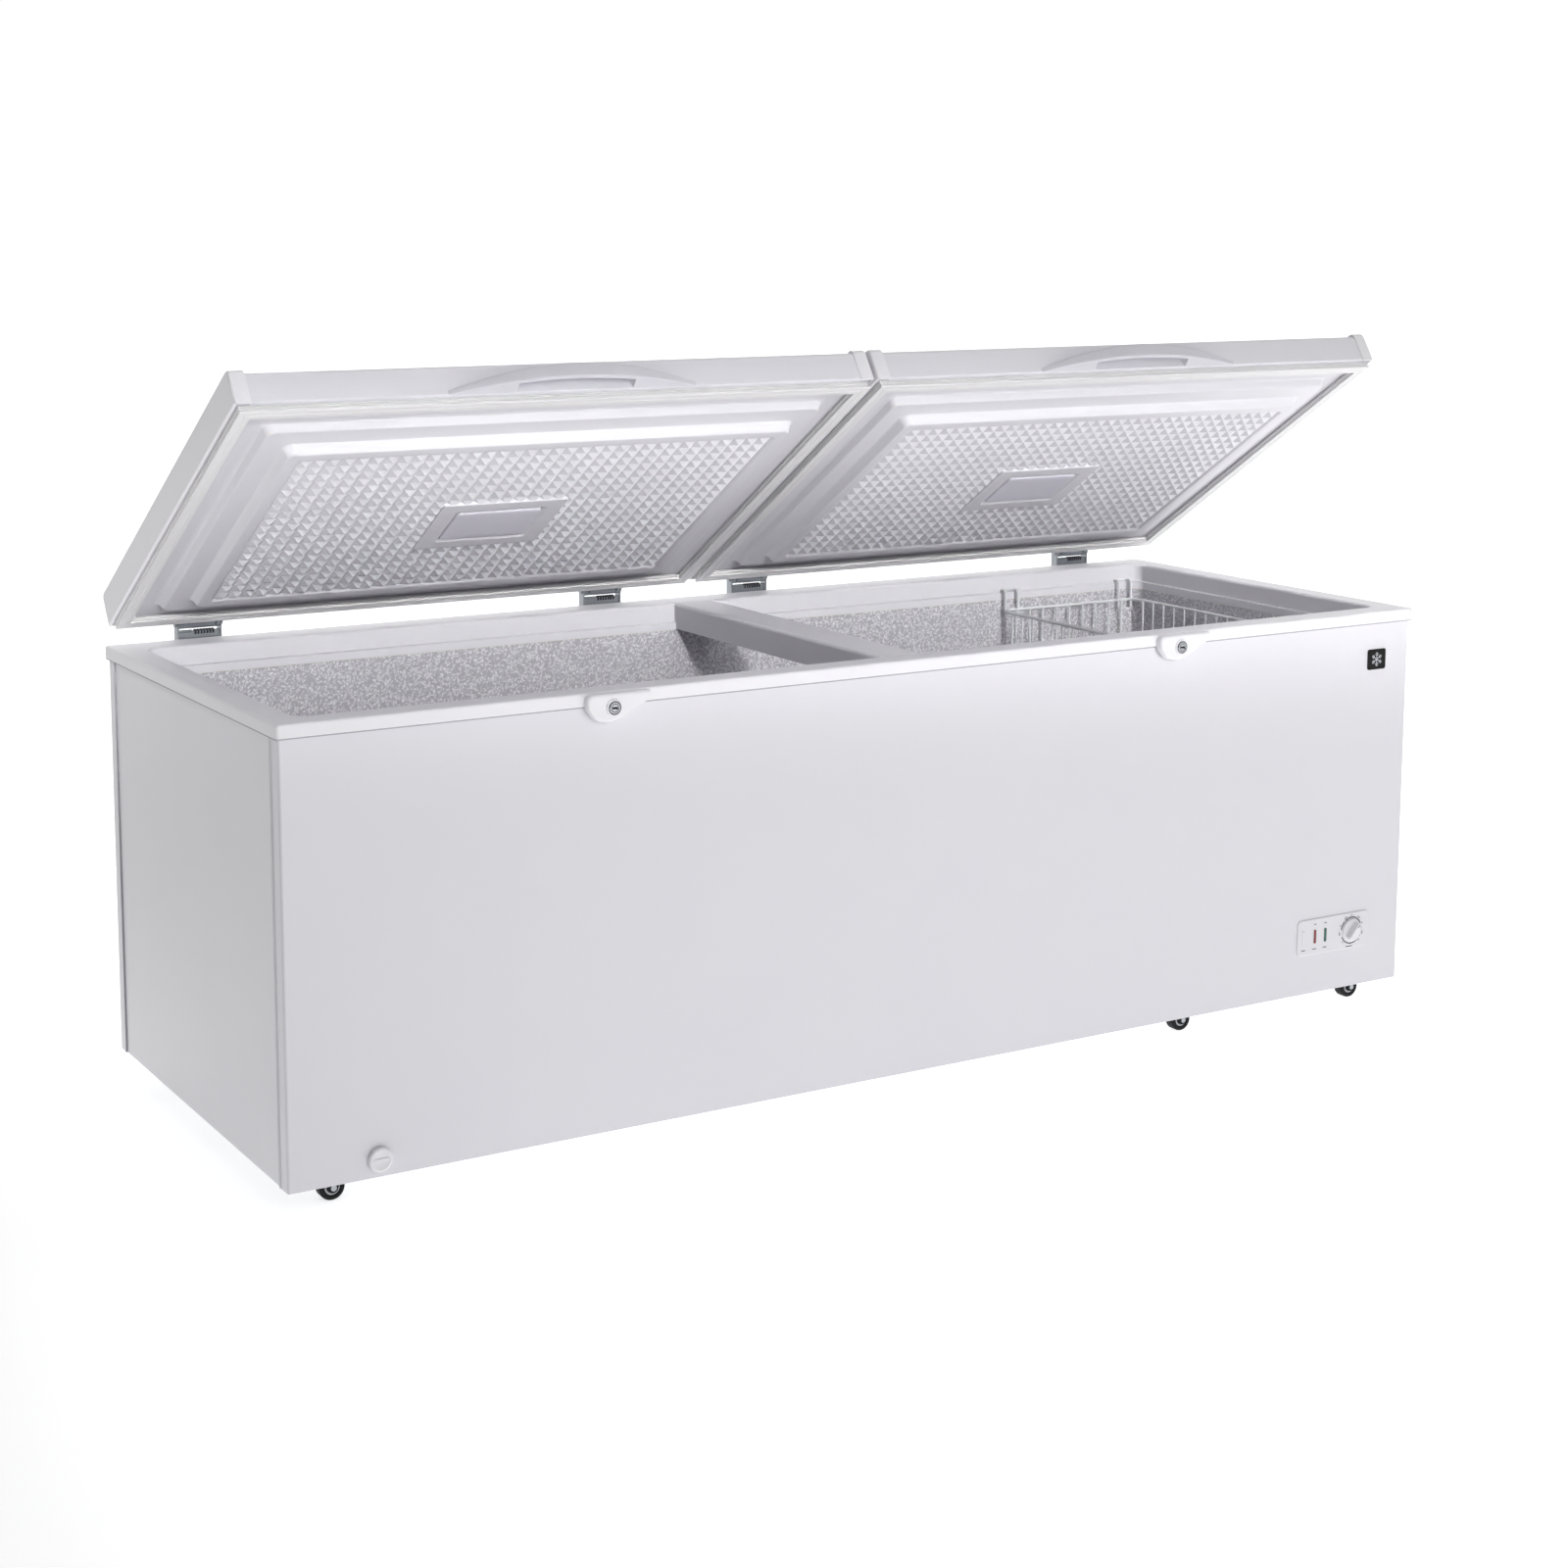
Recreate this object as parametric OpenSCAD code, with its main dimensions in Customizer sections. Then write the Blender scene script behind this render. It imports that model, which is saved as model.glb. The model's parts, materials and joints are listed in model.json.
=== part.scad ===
// Two-lid chest freezer on six rollers: foamed steel cabinet, aluminium liner, white collar,
// two sprung lids resting part open, wire basket, front control panel and key locks.
// Frame: +X to the right seen from the front, +Y to the back, +Z up, floor at z = 0.

/* [Cabinet] */
// collar width over its outer faces, mm
cabinet_width = 2110; // [1800:5:2400]
// collar depth over its outer faces, mm
cabinet_depth = 760; // [650:5:850]
// cabinet height, underside of the base to the collar's top, mm
cabinet_height = 668; // [560:2:800]
// clear height of the rollers under the base, mm
roller_height = 48; // [40:1:70]
// width of the collar's flat top at the sides, mm
rim_width = 48; // [40:1:70]
// thickness of the floor insulation, mm
floor_wall = 60; // [45:1:90]
// height of the raised liner step over the compressor bay, above the base, mm
step_height = 300; // [220:5:360]
// length of the compressor bay along the cabinet, mm
bay_length = 392; // [320:2:480]

/* [Lids] */
// lid depth, back edge to front face, mm
lid_depth = 720; // [640:2:780]
// height of a lid's skirt, mm
lid_height = 50; // [40:1:70]
// angle each lid is resting open, degrees
lid_angle = 33; // [0:1:80]
// gap between the two lids, mm
lid_gap = 6; // [4:1:12]
// length of each lid's curved front handle, mm
handle_length = 440; // [300:5:520]

/* [Fittings] */
// length of the wire basket along the cabinet, mm
basket_length = 320; // [250:5:420]
// depth of the wire basket below its rim, mm
basket_drop = 190; // [140:5:240]
// spacing of the basket's upright wires, mm
basket_pitch = 30; // [20:1:40]
// diameter of the temperature dial, mm
dial_diameter = 42; // [34:1:52]
// diameter of a roller wheel, mm
wheel_diameter = 40; // [34:1:44]
// which sub-part to draw

/* [Hidden] */
$fn = 48;

// overall planes
hw = cabinet_width / 2;
hd = cabinet_depth / 2;
z_base = roller_height;
z_top = roller_height + cabinet_height;
sheet = 1;                        // painted steel sheet
overhang = 5;                     // collar beyond the panels
px = hw - overhang;               // outer face of the side returns
py = hd - overhang;               // outer face of the front and back panels
wrap = 28;                        // front and back panels folded round the corners
panel_top = z_top - 7;            // panels tuck up under the collar

// collar section
lip_height = 20;
lip = 4;
flange = 6;                       // thickness of the flat top
skirt = 6;                        // thickness of the inner skirt
ledge = 6;                        // step the basket hooks over
ledge_z = z_top - 33;
skirt_z = z_top - 47;
rim_front = 47;
rim_back = 62;
ox = hw - rim_width;              // opening half-width
oyf = -hd + rim_front;            // opening front
oyb = hd - rim_back;              // opening back

// liner and bay
liner_t = 0.8;
lx = ox - ledge;                  // liner inner faces
lyf = oyf + ledge;
lyb = oyb - ledge;
liner_r = 28;
z_floor = z_base + floor_wall;
z_step = z_base + step_height;
bay_x = px - sheet - bay_length;  // left wall of the compressor bay
step_x = bay_x - 50;              // left face of the liner step
bay_top = z_step - 50;

// divider under the joint between the lids
divider_half = 40;

// lid frame: pivot axis at the origin, closed, front towards -Y
pivot_y = hd + 8;
pivot_z = z_top + 24;
back_face = -43;                  // lid's back face
front_face = back_face - lid_depth;
lid_low = -12;                    // lower edge of the skirt
lid_high = lid_low + lid_height;
lid_out = hw + 3;                 // outer end of a lid
lid_in = lid_gap / 2;
lid_mid = (lid_out + lid_in) / 2;
lid_len = lid_out - lid_in;
cap_w = 25;
plug_z = [-26, -42, -38];         // first step, raised frame, patterned field
gasket_in = 8;                    // gasket's outer edge, from the lid's outline inwards
gasket_w = 20;
gasket_low = -23.7;
hinge_x = [-895, -152, 152, 895];
hinge_half = 37.5;
pin_r = 4;

// fittings
lock_x = lid_mid;
lock_len = 108;
lock_tall = 45;
lock_out = 15;
panel_x = 895;
panel_z = z_base + 102;
panel_len = 166;
panel_tall = 64;
dial_x = panel_x + 42;
basket_x1 = lx - 14;
basket_x0 = basket_x1 - basket_length;
basket_y0 = lyf + 12;
basket_y1 = lyb - 12;
basket_z = z_top - 66;
wire_r = 2;
rim_r = 3;
drain_x = -912;
drain_z = z_base + 27;
wheel_r = wheel_diameter / 2;
wheel_w = 20;
wheel_y = 300;
wheels = [[-958, -1], [612, -1], [1003, -1], [-958, 1], [612, 1], [1003, 1]];

// the box's middle in Y sits on the origin
y_mid = ((pivot_y + 10) - (hd + lock_out + 0.8)) / 2;

white = [0.90, 0.90, 0.91];
plastic = [0.93, 0.93, 0.94];
zinc = [0.72, 0.73, 0.74];
dark = [0.08, 0.08, 0.09];

module place() translate([0, -y_mid, 0]) children();

// everything riding on a lid, given in the closed lid's frame
module on_lid() place() translate([0, pivot_y, pivot_z]) rotate([-lid_angle, 0, 0]) children();

module box(a, b) translate(a) cube([b[0] - a[0], b[1] - a[1], b[2] - a[2]]);

module round_rect(x0, y0, x1, y1, r) {
    rr = min(r, (x1 - x0) / 2, (y1 - y0) / 2);
    translate([x0 + rr, y0]) square([x1 - x0 - 2 * rr, y1 - y0]);
    translate([x0, y0 + rr]) square([x1 - x0, y1 - y0 - 2 * rr]);
    for (x = [x0 + rr, x1 - rr], y = [y0 + rr, y1 - rr])
        translate([x, y]) circle(rr);
}

// slab with rounded plan corners between two heights
module slab(x0, y0, x1, y1, z0, z1, r)
    translate([0, 0, z0]) linear_extrude(z1 - z0) round_rect(x0, y0, x1, y1, r);

// cylinder along Y
module rod_y(x, z, y0, y1, r) translate([x, y1, z]) rotate([90, 0, 0]) cylinder(r = r, h = y1 - y0);

// cylinder along X
module rod_x(y, z, x0, x1, r) translate([x0, y, z]) rotate([0, 90, 0]) cylinder(r = r, h = x1 - x0);

// profile given as (y, z) points, swept along X
module sweep_x(x0, x1) translate([x0, 0, 0]) rotate([90, 0, 90]) linear_extrude(x1 - x0) children();

// outline given as (x, z) points, swept along Y
module sweep_y(y0, y1) translate([0, y1, 0]) rotate([90, 0, 0]) linear_extrude(y1 - y0) children();

/* ---------- cabinet panels ---------- */

// flat wall with its edges folded round both corners and a hem under the base
module wrap_panel() {
    box([-px, -py, z_base], [px, -py + sheet, panel_top]);
    for (s = [-1, 1]) {
        x = s * (px - sheet / 2);
        box([x - sheet / 2, -py + sheet, z_base], [x + sheet / 2, -py + wrap, panel_top]);
    }
    box([-px + sheet, -py + sheet, z_base], [px - sheet, -py + 22, z_base + sheet]);
}

module front_panel() color(white) place() difference() {
    wrap_panel();
    rod_y(drain_x, drain_z, -py - 1, -py + 2, 9.4);
    box([panel_x - 74, -py - 1, panel_z - 24], [panel_x + 70, -py + 2, panel_z + 24]);
}

module back_panel() color(white) place() difference() {
    rotate([0, 0, 180]) wrap_panel();
    rod_y(px - 60, z_base + 60, py - 2, py + 1, 9.2);
}

module side_sheet(side) {
    x = side * (px - 1.5 * sheet);
    box([x - sheet / 2, -py + sheet + 0.1, z_base + sheet + 0.1],
        [x + sheet / 2, py - sheet - 0.1, panel_top]);
}

module side_panel_left() color(white) place() side_sheet(-1);

module side_panel_right() color(white) place() difference() {
    side_sheet(1);
    box([px - 4, -150, z_base + 46], [px + 1, 190, z_base + 214]);
}

// pan under the foamed part of the cabinet, pressed down slightly between the rollers
module base_pan() color(zinc) place() difference() {
    union() {
        box([-px + 2 * sheet + 0.1, -py + 22.1, z_base], [bay_x, py - 22.1, z_base + sheet]);
        pressing(0, z_base - 1.5);
    }
    pressing(sheet, z_base - 0.5);
}

module pressing(inset, z) box([wheels[0][0] + 58 + inset, -py + 45 + inset, z],
    [wheels[1][0] - 52 - inset, py - 45 - inset, z_base + sheet + inset * 0.1]);

// heavier tray that carries the compressor
module compressor_tray() color(zinc) place() {
    box([bay_x + 0.1, -py + 22.1, z_base], [px - 2 * sheet - 0.1, py - 22.1, z_base + 2]);
    box([bay_x + 0.1, -py + 22.1, z_base + 2], [bay_x + 2.1, py - 22.1, z_base + 40]);
}

module bay_space() box([bay_x, -py - 1, z_base - 1], [px + 5, py + 1, bay_top]);

// storage space up to a height, grown by g; the raised step is at its right end
module storage(g, top) difference() {
    slab(-lx - g, lyf - g, lx + g, lyb + g, z_floor - g, top, liner_r + g);
    box([step_x + g, lyf - 20, z_floor - 20], [lx + 20, lyb + 20, z_step - g]);
}

module insulation() color([0.93, 0.86, 0.62]) place() difference() {
    box([-px + 2.2, -py + 1.2, z_base + sheet + 0.2], [px - 2.2, py - 1.2, panel_top - 0.4]);
    storage(liner_t + 0.1, skirt_z);
    box([-ox - skirt - 0.2, oyf - skirt - 0.2, skirt_z - 0.2],
        [ox + skirt + 0.2, oyb + skirt + 0.2, z_top]);
    bay_space();
    for (s = [0, 1]) mirror([0, s, 0])
        box([-px, -py, z_base], [px, -py + 22.3, z_base + sheet + 0.3]);
    rod_y(drain_x, drain_z, -py - 1, -250, 9.6);
    translate([drain_x, -262, drain_z - 10]) cylinder(r = 9.6, h = 60);
}

// stucco-embossed aluminium sheet lining the storage space
module liner() color([0.78, 0.79, 0.80]) place() difference() {
    storage(liner_t, skirt_z - 0.1);
    storage(0, z_top);
    translate([drain_x, -262, z_floor - 5]) cylinder(r = 8.2, h = 20);
}

/* ---------- collar and divider ---------- */

module collar() color(plastic) place() difference() {
    union() {
        slab(-hw, -hd, hw, hd, z_top - lip_height, z_top, 5);
        box([-ox - skirt, oyf - skirt, skirt_z], [ox + skirt, oyb + skirt, z_top - 1]);
    }
    // underside, left open for the panels and the foam
    difference() {
        box([-hw + lip, -hd + lip, skirt_z - 1], [hw - lip, hd - lip, z_top - flange]);
        box([-ox - skirt, oyf - skirt, skirt_z - 2], [ox + skirt, oyb + skirt, z_top]);
    }
    slab(-ox, oyf, ox, oyb, ledge_z, z_top + 1, 22);
    slab(-lx, lyf, lx, lyb, skirt_z - 2, z_top, liner_r);
    for (s = [-1, 1]) for (y = [oyf - 2, oyb - 2])
        box([s * (divider_half - 12) - 4, y, z_top - 30], [s * (divider_half - 12) + 4, y + 4, z_top - 12]);
}

// hollow beam the two lids' inner gaskets close on
module divider_beam() color(plastic) place() difference() {
    union() {
        box([-divider_half, oyf + 0.1, ledge_z + 0.1], [divider_half, oyb - 0.1, z_top]);
        box([-divider_half, lyf + 0.1, skirt_z + 2], [divider_half, lyb - 0.1, ledge_z + 0.1]);
    }
    box([-divider_half + 4, lyf + 6, skirt_z], [divider_half - 4, lyb - 6, z_top - 5]);
}

/* ---------- front fittings ---------- */

module plate_front(x, z, w, h, y0, y1, r) sweep_y(y0, y1) round_rect(x - w / 2, z - h / 2,
    x + w / 2, z + h / 2, r);

module control_panel() color(plastic) place() difference() {
    union() {
        plate_front(panel_x, panel_z, panel_len, panel_tall, -py - 2, -py, 9);
        plate_front(panel_x, panel_z, 136, 44, -py, -py + 12, 4);
    }
    plate_front(panel_x + 8, panel_z, 112, 36, -py + 2, -py + 13, 3);
    for (dx = [-69, -43, -19]) plate_front(panel_x + dx, panel_z, 6.2, 25.2, -py - 3, -py + 13, 2.2);
    rod_y(dial_x, panel_z, -py - 3, -py + 3, 6.05);
    rod_y(dial_x, panel_z, -py - 3, -py - 1, dial_diameter / 2 + 0.5);
}

module indicator(dx) place()
    plate_front(panel_x + dx, panel_z, 6, 25, -py - 2.4, -py + 8, 2.1);

module indicator_blank() color(plastic) indicator(-69);
module indicator_red() color([0.75, 0.10, 0.12]) indicator(-43);
module indicator_green() color([0.10, 0.55, 0.42]) indicator(-19);

// turning knob with a raised finger bar across it
module dial() color(plastic) place() {
    rod_y(dial_x, panel_z, -py - 6, -py - 1.2, dial_diameter / 2);
    translate([dial_x, 0, panel_z]) rotate([0, 40, 0])
        plate_front(0, 0, 9, dial_diameter - 5, -py - 15, -py - 6, 3.5);
    rod_y(dial_x, panel_z, -py - 1.2, -py + 6, 6);
}

module badge() color(dark) place()
    plate_front(976, z_top - 85, 42, 36, -py - 1.2, -py, 4);

module drain_tube() color(plastic) place() difference() {
    union() {
        rod_y(drain_x, drain_z, -py, -252.6, 9);
        translate([drain_x, -262, drain_z]) cylinder(r = 9, h = z_floor - liner_t - drain_z - 0.2);
    }
    rod_y(drain_x, drain_z, -py - 1, -258, 7);
    translate([drain_x, -262, drain_z]) cylinder(r = 7, h = 80);
}

module drain_cap() color(plastic) place() {
    rod_y(drain_x, drain_z, -py - 8, -py - 0.3, 18);
    rod_y(drain_x, drain_z, -py - 0.3, -py + 14, 6.9);
}

module drain_plug() color([0.35, 0.36, 0.38]) place() translate([drain_x, -262, z_floor]) {
    translate([0, 0, 0.1]) cylinder(r = 17, h = 4);
    translate([0, 0, -9]) cylinder(r = 6.9, h = 10);
    translate([-2, -9, 4]) cube([4, 18, 9]);
}

// lock housing: bulged at the left, tapering away to the right
module lock_outline(x) {
    polygon([[x - 54, z_top - 2], [x + 54, z_top - 2], [x + 54, z_top - 12], [x + 8, z_top - 40],
        [x - 20, z_top - lock_tall], [x - 42, z_top - 40], [x - 54, z_top - 24]]);
    translate([x - 22, z_top - 24]) circle(21);
}

module lock_housing(x) color(plastic) place() difference() {
    union() {
        sweep_y(-hd - lock_out + 2, -hd - 0.1) lock_outline(x);
        rod_y(x - 10, z_top - 23, -hd - lock_out, -hd - lock_out + 3, 13);
    }
    rod_y(x - 10, z_top - 23, -hd - lock_out - 1, -hd - 1, 9.06);
    // slot the lid's catch drops into
    box([x + 12, -hd - lock_out + 6, z_top - 16], [x + 40, -hd - 4, z_top + 1]);
}

module lock_cylinder(x) color(zinc) place() difference() {
    rod_y(x - 10, z_top - 23, -hd - lock_out - 0.8, -hd - 1.2, 9);
    box([x - 13.5, -hd - lock_out - 2, z_top - 24], [x - 6.5, -hd - lock_out + 5, z_top - 22]);
}

module lock_housing_left() lock_housing(-lock_x);
module lock_housing_right() lock_housing(lock_x);
module lock_cylinder_left() lock_cylinder(-lock_x);
module lock_cylinder_right() lock_cylinder(lock_x);

/* ---------- hinges ---------- */

module cheek_profile() difference() {
    union() {
        polygon([[py + 0.1, z_top - 92], [py + 17, z_top - 92], [pivot_y + 10, z_top - 40],
            [pivot_y + 10, pivot_z], [pivot_y - 7.5, pivot_z], [pivot_y - 7.5, z_top - 21],
            [py + 0.1, z_top - 21]]);
        translate([pivot_y, pivot_z]) circle(10);
    }
    translate([pivot_y, pivot_z]) circle(pin_r);
    // clear of the collar's back edge
    translate([py - 5, z_top - 20.6]) square([overhang + 5.4, 30]);
}

module hinge_brackets() color(zinc) place() for (x = hinge_x) difference() {
    union() {
        for (s = [-1, 1]) sweep_x(x + s * (hinge_half - 1.25) - 1.25, x + s * (hinge_half - 1.25) + 1.25)
            cheek_profile();
        box([x - hinge_half + 1, py + 0.1, z_top - 92], [x + hinge_half - 1, py + 2.6, z_top - 22]);
    }
    for (dx = [-20, 20], dz = [-80, -36])
        rod_y(x + dx, z_top + dz, py - 1, py + 4, 2.6);
}

module hinge_pins() color(zinc) place() for (x = hinge_x) {
    rod_x(pivot_y, pivot_z, x - hinge_half - 1, x + hinge_half + 1, pin_r);
    for (s = [-1, 1]) rod_x(pivot_y, pivot_z, x + s * (hinge_half + 1.55) - 1.5,
        x + s * (hinge_half + 1.55) + 1.5, 6);
}

// panel screws of the four hinge brackets
module screws() color(zinc) place() for (x = hinge_x, dx = [-20, 20], dz = [-80, -36]) {
    rod_y(x + dx, z_top + dz, py + 2.6, py + 5, 4.2);
    rod_y(x + dx, z_top + dz, py + 0.1, py + 2.6, 2.5);
}

module hinge_leaf(x) {
    box([x - 30, back_face + 1.6, lid_low + 3], [x + 30, back_face + 4.1, lid_high - 6]);
    for (s = [-1, 1]) sweep_x(x + s * 27 - 1.25, x + s * 27 + 1.25) difference() {
        union() {
            polygon([[back_face + 4, -8], [back_face + 4, 26], [-4, 8.5], [-2, -8.5]]);
            circle(9);
        }
        circle(pin_r + 0.06);
    }
    difference() {
        rod_x(0, 0, x - 34.4, x + 34.4, 9);
        rod_x(0, 0, x - 40, x + 40, pin_r + 0.06);
    }
}

/* ---------- lids ---------- */

module lid_skirt_profile(g) difference() {
    polygon([[front_face - g, lid_low - g], [front_face - g, lid_high - 8], [front_face + 8, lid_high + g],
        [back_face - 8, lid_high + g], [back_face + g, lid_high - 8], [back_face + g, lid_low - g]]);
}

// folded steel tray: top, front and back skirts with turned-in lower lips
module lid_shell(side) color(white) on_lid() difference() {
    x0 = side < 0 ? -lid_out + cap_w : lid_in + cap_w;
    x1 = x0 + lid_len - 2 * cap_w;
    sweep_x(x0, x1) lid_skirt_profile(0);
    sweep_x(x0 - 1, x1 + 1) difference() {
        polygon([[front_face + 1, lid_low - 1], [front_face + 1, lid_high - 8.4],
            [front_face + 8.4, lid_high - 1], [back_face - 8.4, lid_high - 1],
            [back_face - 1, lid_high - 8.4], [back_face - 1, lid_low - 1]]);
        for (y = [front_face - 1, back_face - 13])
            translate([y, lid_low]) square([14, 1]);
    }
}

// moulded trim closing each end of the lid
module lid_end_caps(side) color(plastic) on_lid() {
    a = side < 0 ? -lid_out : lid_in;
    for (x = [a, a + lid_len - cap_w]) {
        inner = x == a ? x + 4 : x + cap_w - 4;
        sweep_x(x == a ? x : inner, x == a ? inner : x + cap_w) lid_skirt_profile(1.4);
        sweep_x(x == a ? inner : x, x == a ? x + cap_w : inner) difference() {
            lid_skirt_profile(1.4);
            polygon([[front_face + 1.2, lid_low - 3], [front_face + 1.2, lid_high - 9],
                [front_face + 9, lid_high - 1.2], [back_face - 9, lid_high - 1.2],
                [back_face - 1.2, lid_high - 9], [back_face - 1.2, lid_low - 3]]);
        }
    }
}

// plan sizes of the liner's steps, from the lid's outline inwards
function inset(side, d) = [side < 0 ? -lid_out + d : lid_in + d, front_face + d,
    side < 0 ? -lid_in - d : lid_out - d, back_face - d];

module step(side, d, z0, z1, r) {
    q = inset(side, d);
    slab(q[0], q[1], q[2], q[3], z0, z1, r);
}

module lid_foam(side) color([0.93, 0.86, 0.62]) on_lid() {
    q = inset(side, 26.2);
    box([q[0], front_face + 1.5, lid_low + 3.4], [q[2], back_face - 1.5, lid_high - 9.5]);
    step(side, 67, plug_z[0] + 2.6, lid_low + 3.4, 12);
}

// vacuum-formed inner face: flange, two rounded steps and the patterned field
module lid_liner(side) color(plastic) on_lid() difference() {
    union() {
        step(side, 5.5, lid_low + 1.2, lid_low + 3.2, 4);
        step(side, 64, plug_z[0], lid_low + 1.2, 14);
        step(side, 108, plug_z[1], plug_z[0], 12);
    }
    step(side, 66.5, plug_z[0] + 2.4, lid_low + 4, 12);
    step(side, 130, plug_z[1] - 1, plug_z[2], 3);
    lamp_cut(side, 216, 150, plug_z[1] - 1, plug_z[0] - 2);
}

module lamp_cut(side, w, d, z0, z1) {
    cx = side * lid_mid;
    cy = (front_face + back_face) / 2 + 14;
    slab(cx - w / 2, cy - d / 2, cx + w / 2, cy + d / 2, z0, z1, 6);
}

module lid_gasket(side) color([0.86, 0.86, 0.85]) on_lid() difference() {
    step(side, gasket_in, gasket_low, lid_low - 0.1, 4);
    step(side, gasket_in + gasket_w, gasket_low - 1, lid_low + 2, 2);
    for (z = [-20, -17.4, -14.8]) difference() {
        step(side, gasket_in - 2, z, z + 1.2, 4);
        step(side, gasket_in + 1.6, z - 1, z + 3, 4);
    }
}

module lid_lamp_frame(side) color(plastic) on_lid() difference() {
    lamp_cut(side, 215, 149, plug_z[1] - 1.5, plug_z[0] - 2.2);
    lamp_cut(side, 149, 93, plug_z[1] - 3, plug_z[0] - 6);
}

module lid_lamp_lens(side) color([0.80, 0.84, 0.92]) on_lid()
    lamp_cut(side, 148, 92, plug_z[1] - 3, plug_z[0] - 6.2);

// crescent handle: arched bar standing off the face, sloping underside and a finger opening behind
module lid_handle(side) color(plastic) on_lid() translate([side * lid_mid, 0, 0]) {
    half = handle_length / 2;
    rise = 26;
    reach = 25;
    bar = 5;
    bar_low = lid_low + 11;
    bar_top = lid_low + 6 + rise;
    arch_r = (half * half + rise * rise) / (2 * rise);
    plan_r = (half * half + reach * reach) / (2 * reach);
    difference() {
        intersection() {
            sweep_y(front_face - reach, front_face - 0.1) translate([0, bar_top - arch_r])
                circle(arch_r, $fn = 256);
            translate([0, front_face - reach + plan_r, lid_low - 10])
                cylinder(r = plan_r, h = 80, $fn = 256);
            sweep_x(-half, half) polygon([[front_face, lid_low], [front_face - reach, bar_low],
                [front_face - reach, bar_top], [front_face, bar_top + 6]]);
        }
        intersection() {
            sweep_y(front_face - reach, front_face + 1)
                round_rect(-103, lid_low - 30, 103, bar_top - 8, 16);
            translate([0, front_face - reach + plan_r, lid_low - 20])
                cylinder(r = plan_r - bar, h = 100, $fn = 256);
        }
    }
}

module lid_left_shell() lid_shell(-1);
module lid_left_end_caps() lid_end_caps(-1);
module lid_left_foam() lid_foam(-1);
module lid_left_liner() lid_liner(-1);
module lid_left_gasket() lid_gasket(-1);
module lid_left_handle() lid_handle(-1);
module lid_left_lamp_frame() lid_lamp_frame(-1);
module lid_left_lamp_lens() lid_lamp_lens(-1);
module lid_left_hinge_leaves() color(zinc) on_lid() for (i = [0, 1]) hinge_leaf(hinge_x[i]);
module lid_right_shell() lid_shell(1);
module lid_right_end_caps() lid_end_caps(1);
module lid_right_foam() lid_foam(1);
module lid_right_liner() lid_liner(1);
module lid_right_gasket() lid_gasket(1);
module lid_right_handle() lid_handle(1);
module lid_right_lamp_frame() lid_lamp_frame(1);
module lid_right_lamp_lens() lid_lamp_lens(1);
module lid_right_hinge_leaves() color(zinc) on_lid() for (i = [2, 3]) hinge_leaf(hinge_x[i]);

/* ---------- basket ---------- */

module wire(a, b, r) {
    d = b - a;
    translate(a) rotate([0, acos(d[2] / norm(d)), atan2(d[1], d[0])])
        cylinder(r = r, h = norm(d), $fn = 6);
}

module basket() color(plastic) place() {
    zb = basket_z - basket_drop;
    e = 0.6;
    for (y = [basket_y0, basket_y1])
        wire([basket_x0 - rim_r, y, basket_z], [basket_x1 + rim_r, y, basket_z], rim_r);
    for (x = [basket_x0, basket_x1])
        wire([x, basket_y0, basket_z], [x, basket_y1, basket_z], rim_r);
    // hoops across, then hoops along
    nx = floor((basket_length - 2 * wire_r) / basket_pitch);
    for (i = [1 : nx - 1]) {
        x = basket_x0 + i * basket_length / nx;
        wire([x, basket_y0 + wire_r, basket_z], [x, basket_y0 + wire_r, zb], wire_r);
        wire([x, basket_y1 - wire_r, basket_z], [x, basket_y1 - wire_r, zb], wire_r);
        wire([x, basket_y0, zb], [x, basket_y1, zb], wire_r);
    }
    ny = floor((basket_y1 - basket_y0) / basket_pitch);
    for (i = [1 : ny - 1]) {
        y = basket_y0 + i * (basket_y1 - basket_y0) / ny;
        zy = zb + 2 * wire_r - e;
        wire([basket_x0 + wire_r, y, basket_z], [basket_x0 + wire_r, y, zy - wire_r], wire_r);
        wire([basket_x1 - wire_r, y, basket_z], [basket_x1 - wire_r, y, zy - wire_r], wire_r);
        wire([basket_x0, y, zy], [basket_x1, y, zy], wire_r);
    }
    // middle hoop wires round the sides
    for (y = [basket_y0 + e, basket_y1 - e])
        wire([basket_x0, y, zb + 95], [basket_x1, y, zb + 95], wire_r);
    for (x = [basket_x0 + e, basket_x1 - e])
        wire([x, basket_y0, zb + 95], [x, basket_y1, zb + 95], wire_r);
    // hangers hooked over the collar's ledge
    for (x = [basket_x0 + 8, basket_x0 + 38, basket_x1 - 38, basket_x1 - 8]) {
        hz = ledge_z + rim_r + 0.4;
        wire([x, basket_y0 - e, basket_z], [x, basket_y0 - e, hz], 2.5);
        wire([x, basket_y0, hz], [x, lyf - 4.5, hz], 2.5);
        wire([x, basket_y1 + e, basket_z], [x, basket_y1 + e, hz], 2.5);
        wire([x, basket_y1, hz], [x, lyb + 4.5, hz], 2.5);
    }
}

/* ---------- machinery and rollers ---------- */

module compressor() color(dark) place() translate([px - 190, 20, z_base + 2]) {
    translate([0, 0, 14]) cylinder(r = 74, h = 70);
    translate([0, 0, 84]) cylinder(r = 66, h = 34);
    translate([0, 0, 118]) cylinder(r = 48, h = 10);
    translate([-100, -60, 8]) cube([200, 120, 6]);
    for (x = [-88, 88], y = [-48, 48]) translate([x, y, 0.1]) cylinder(r = 11, h = 8);
    translate([-110, -30, 40]) cube([45, 60, 55]);
}

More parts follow.
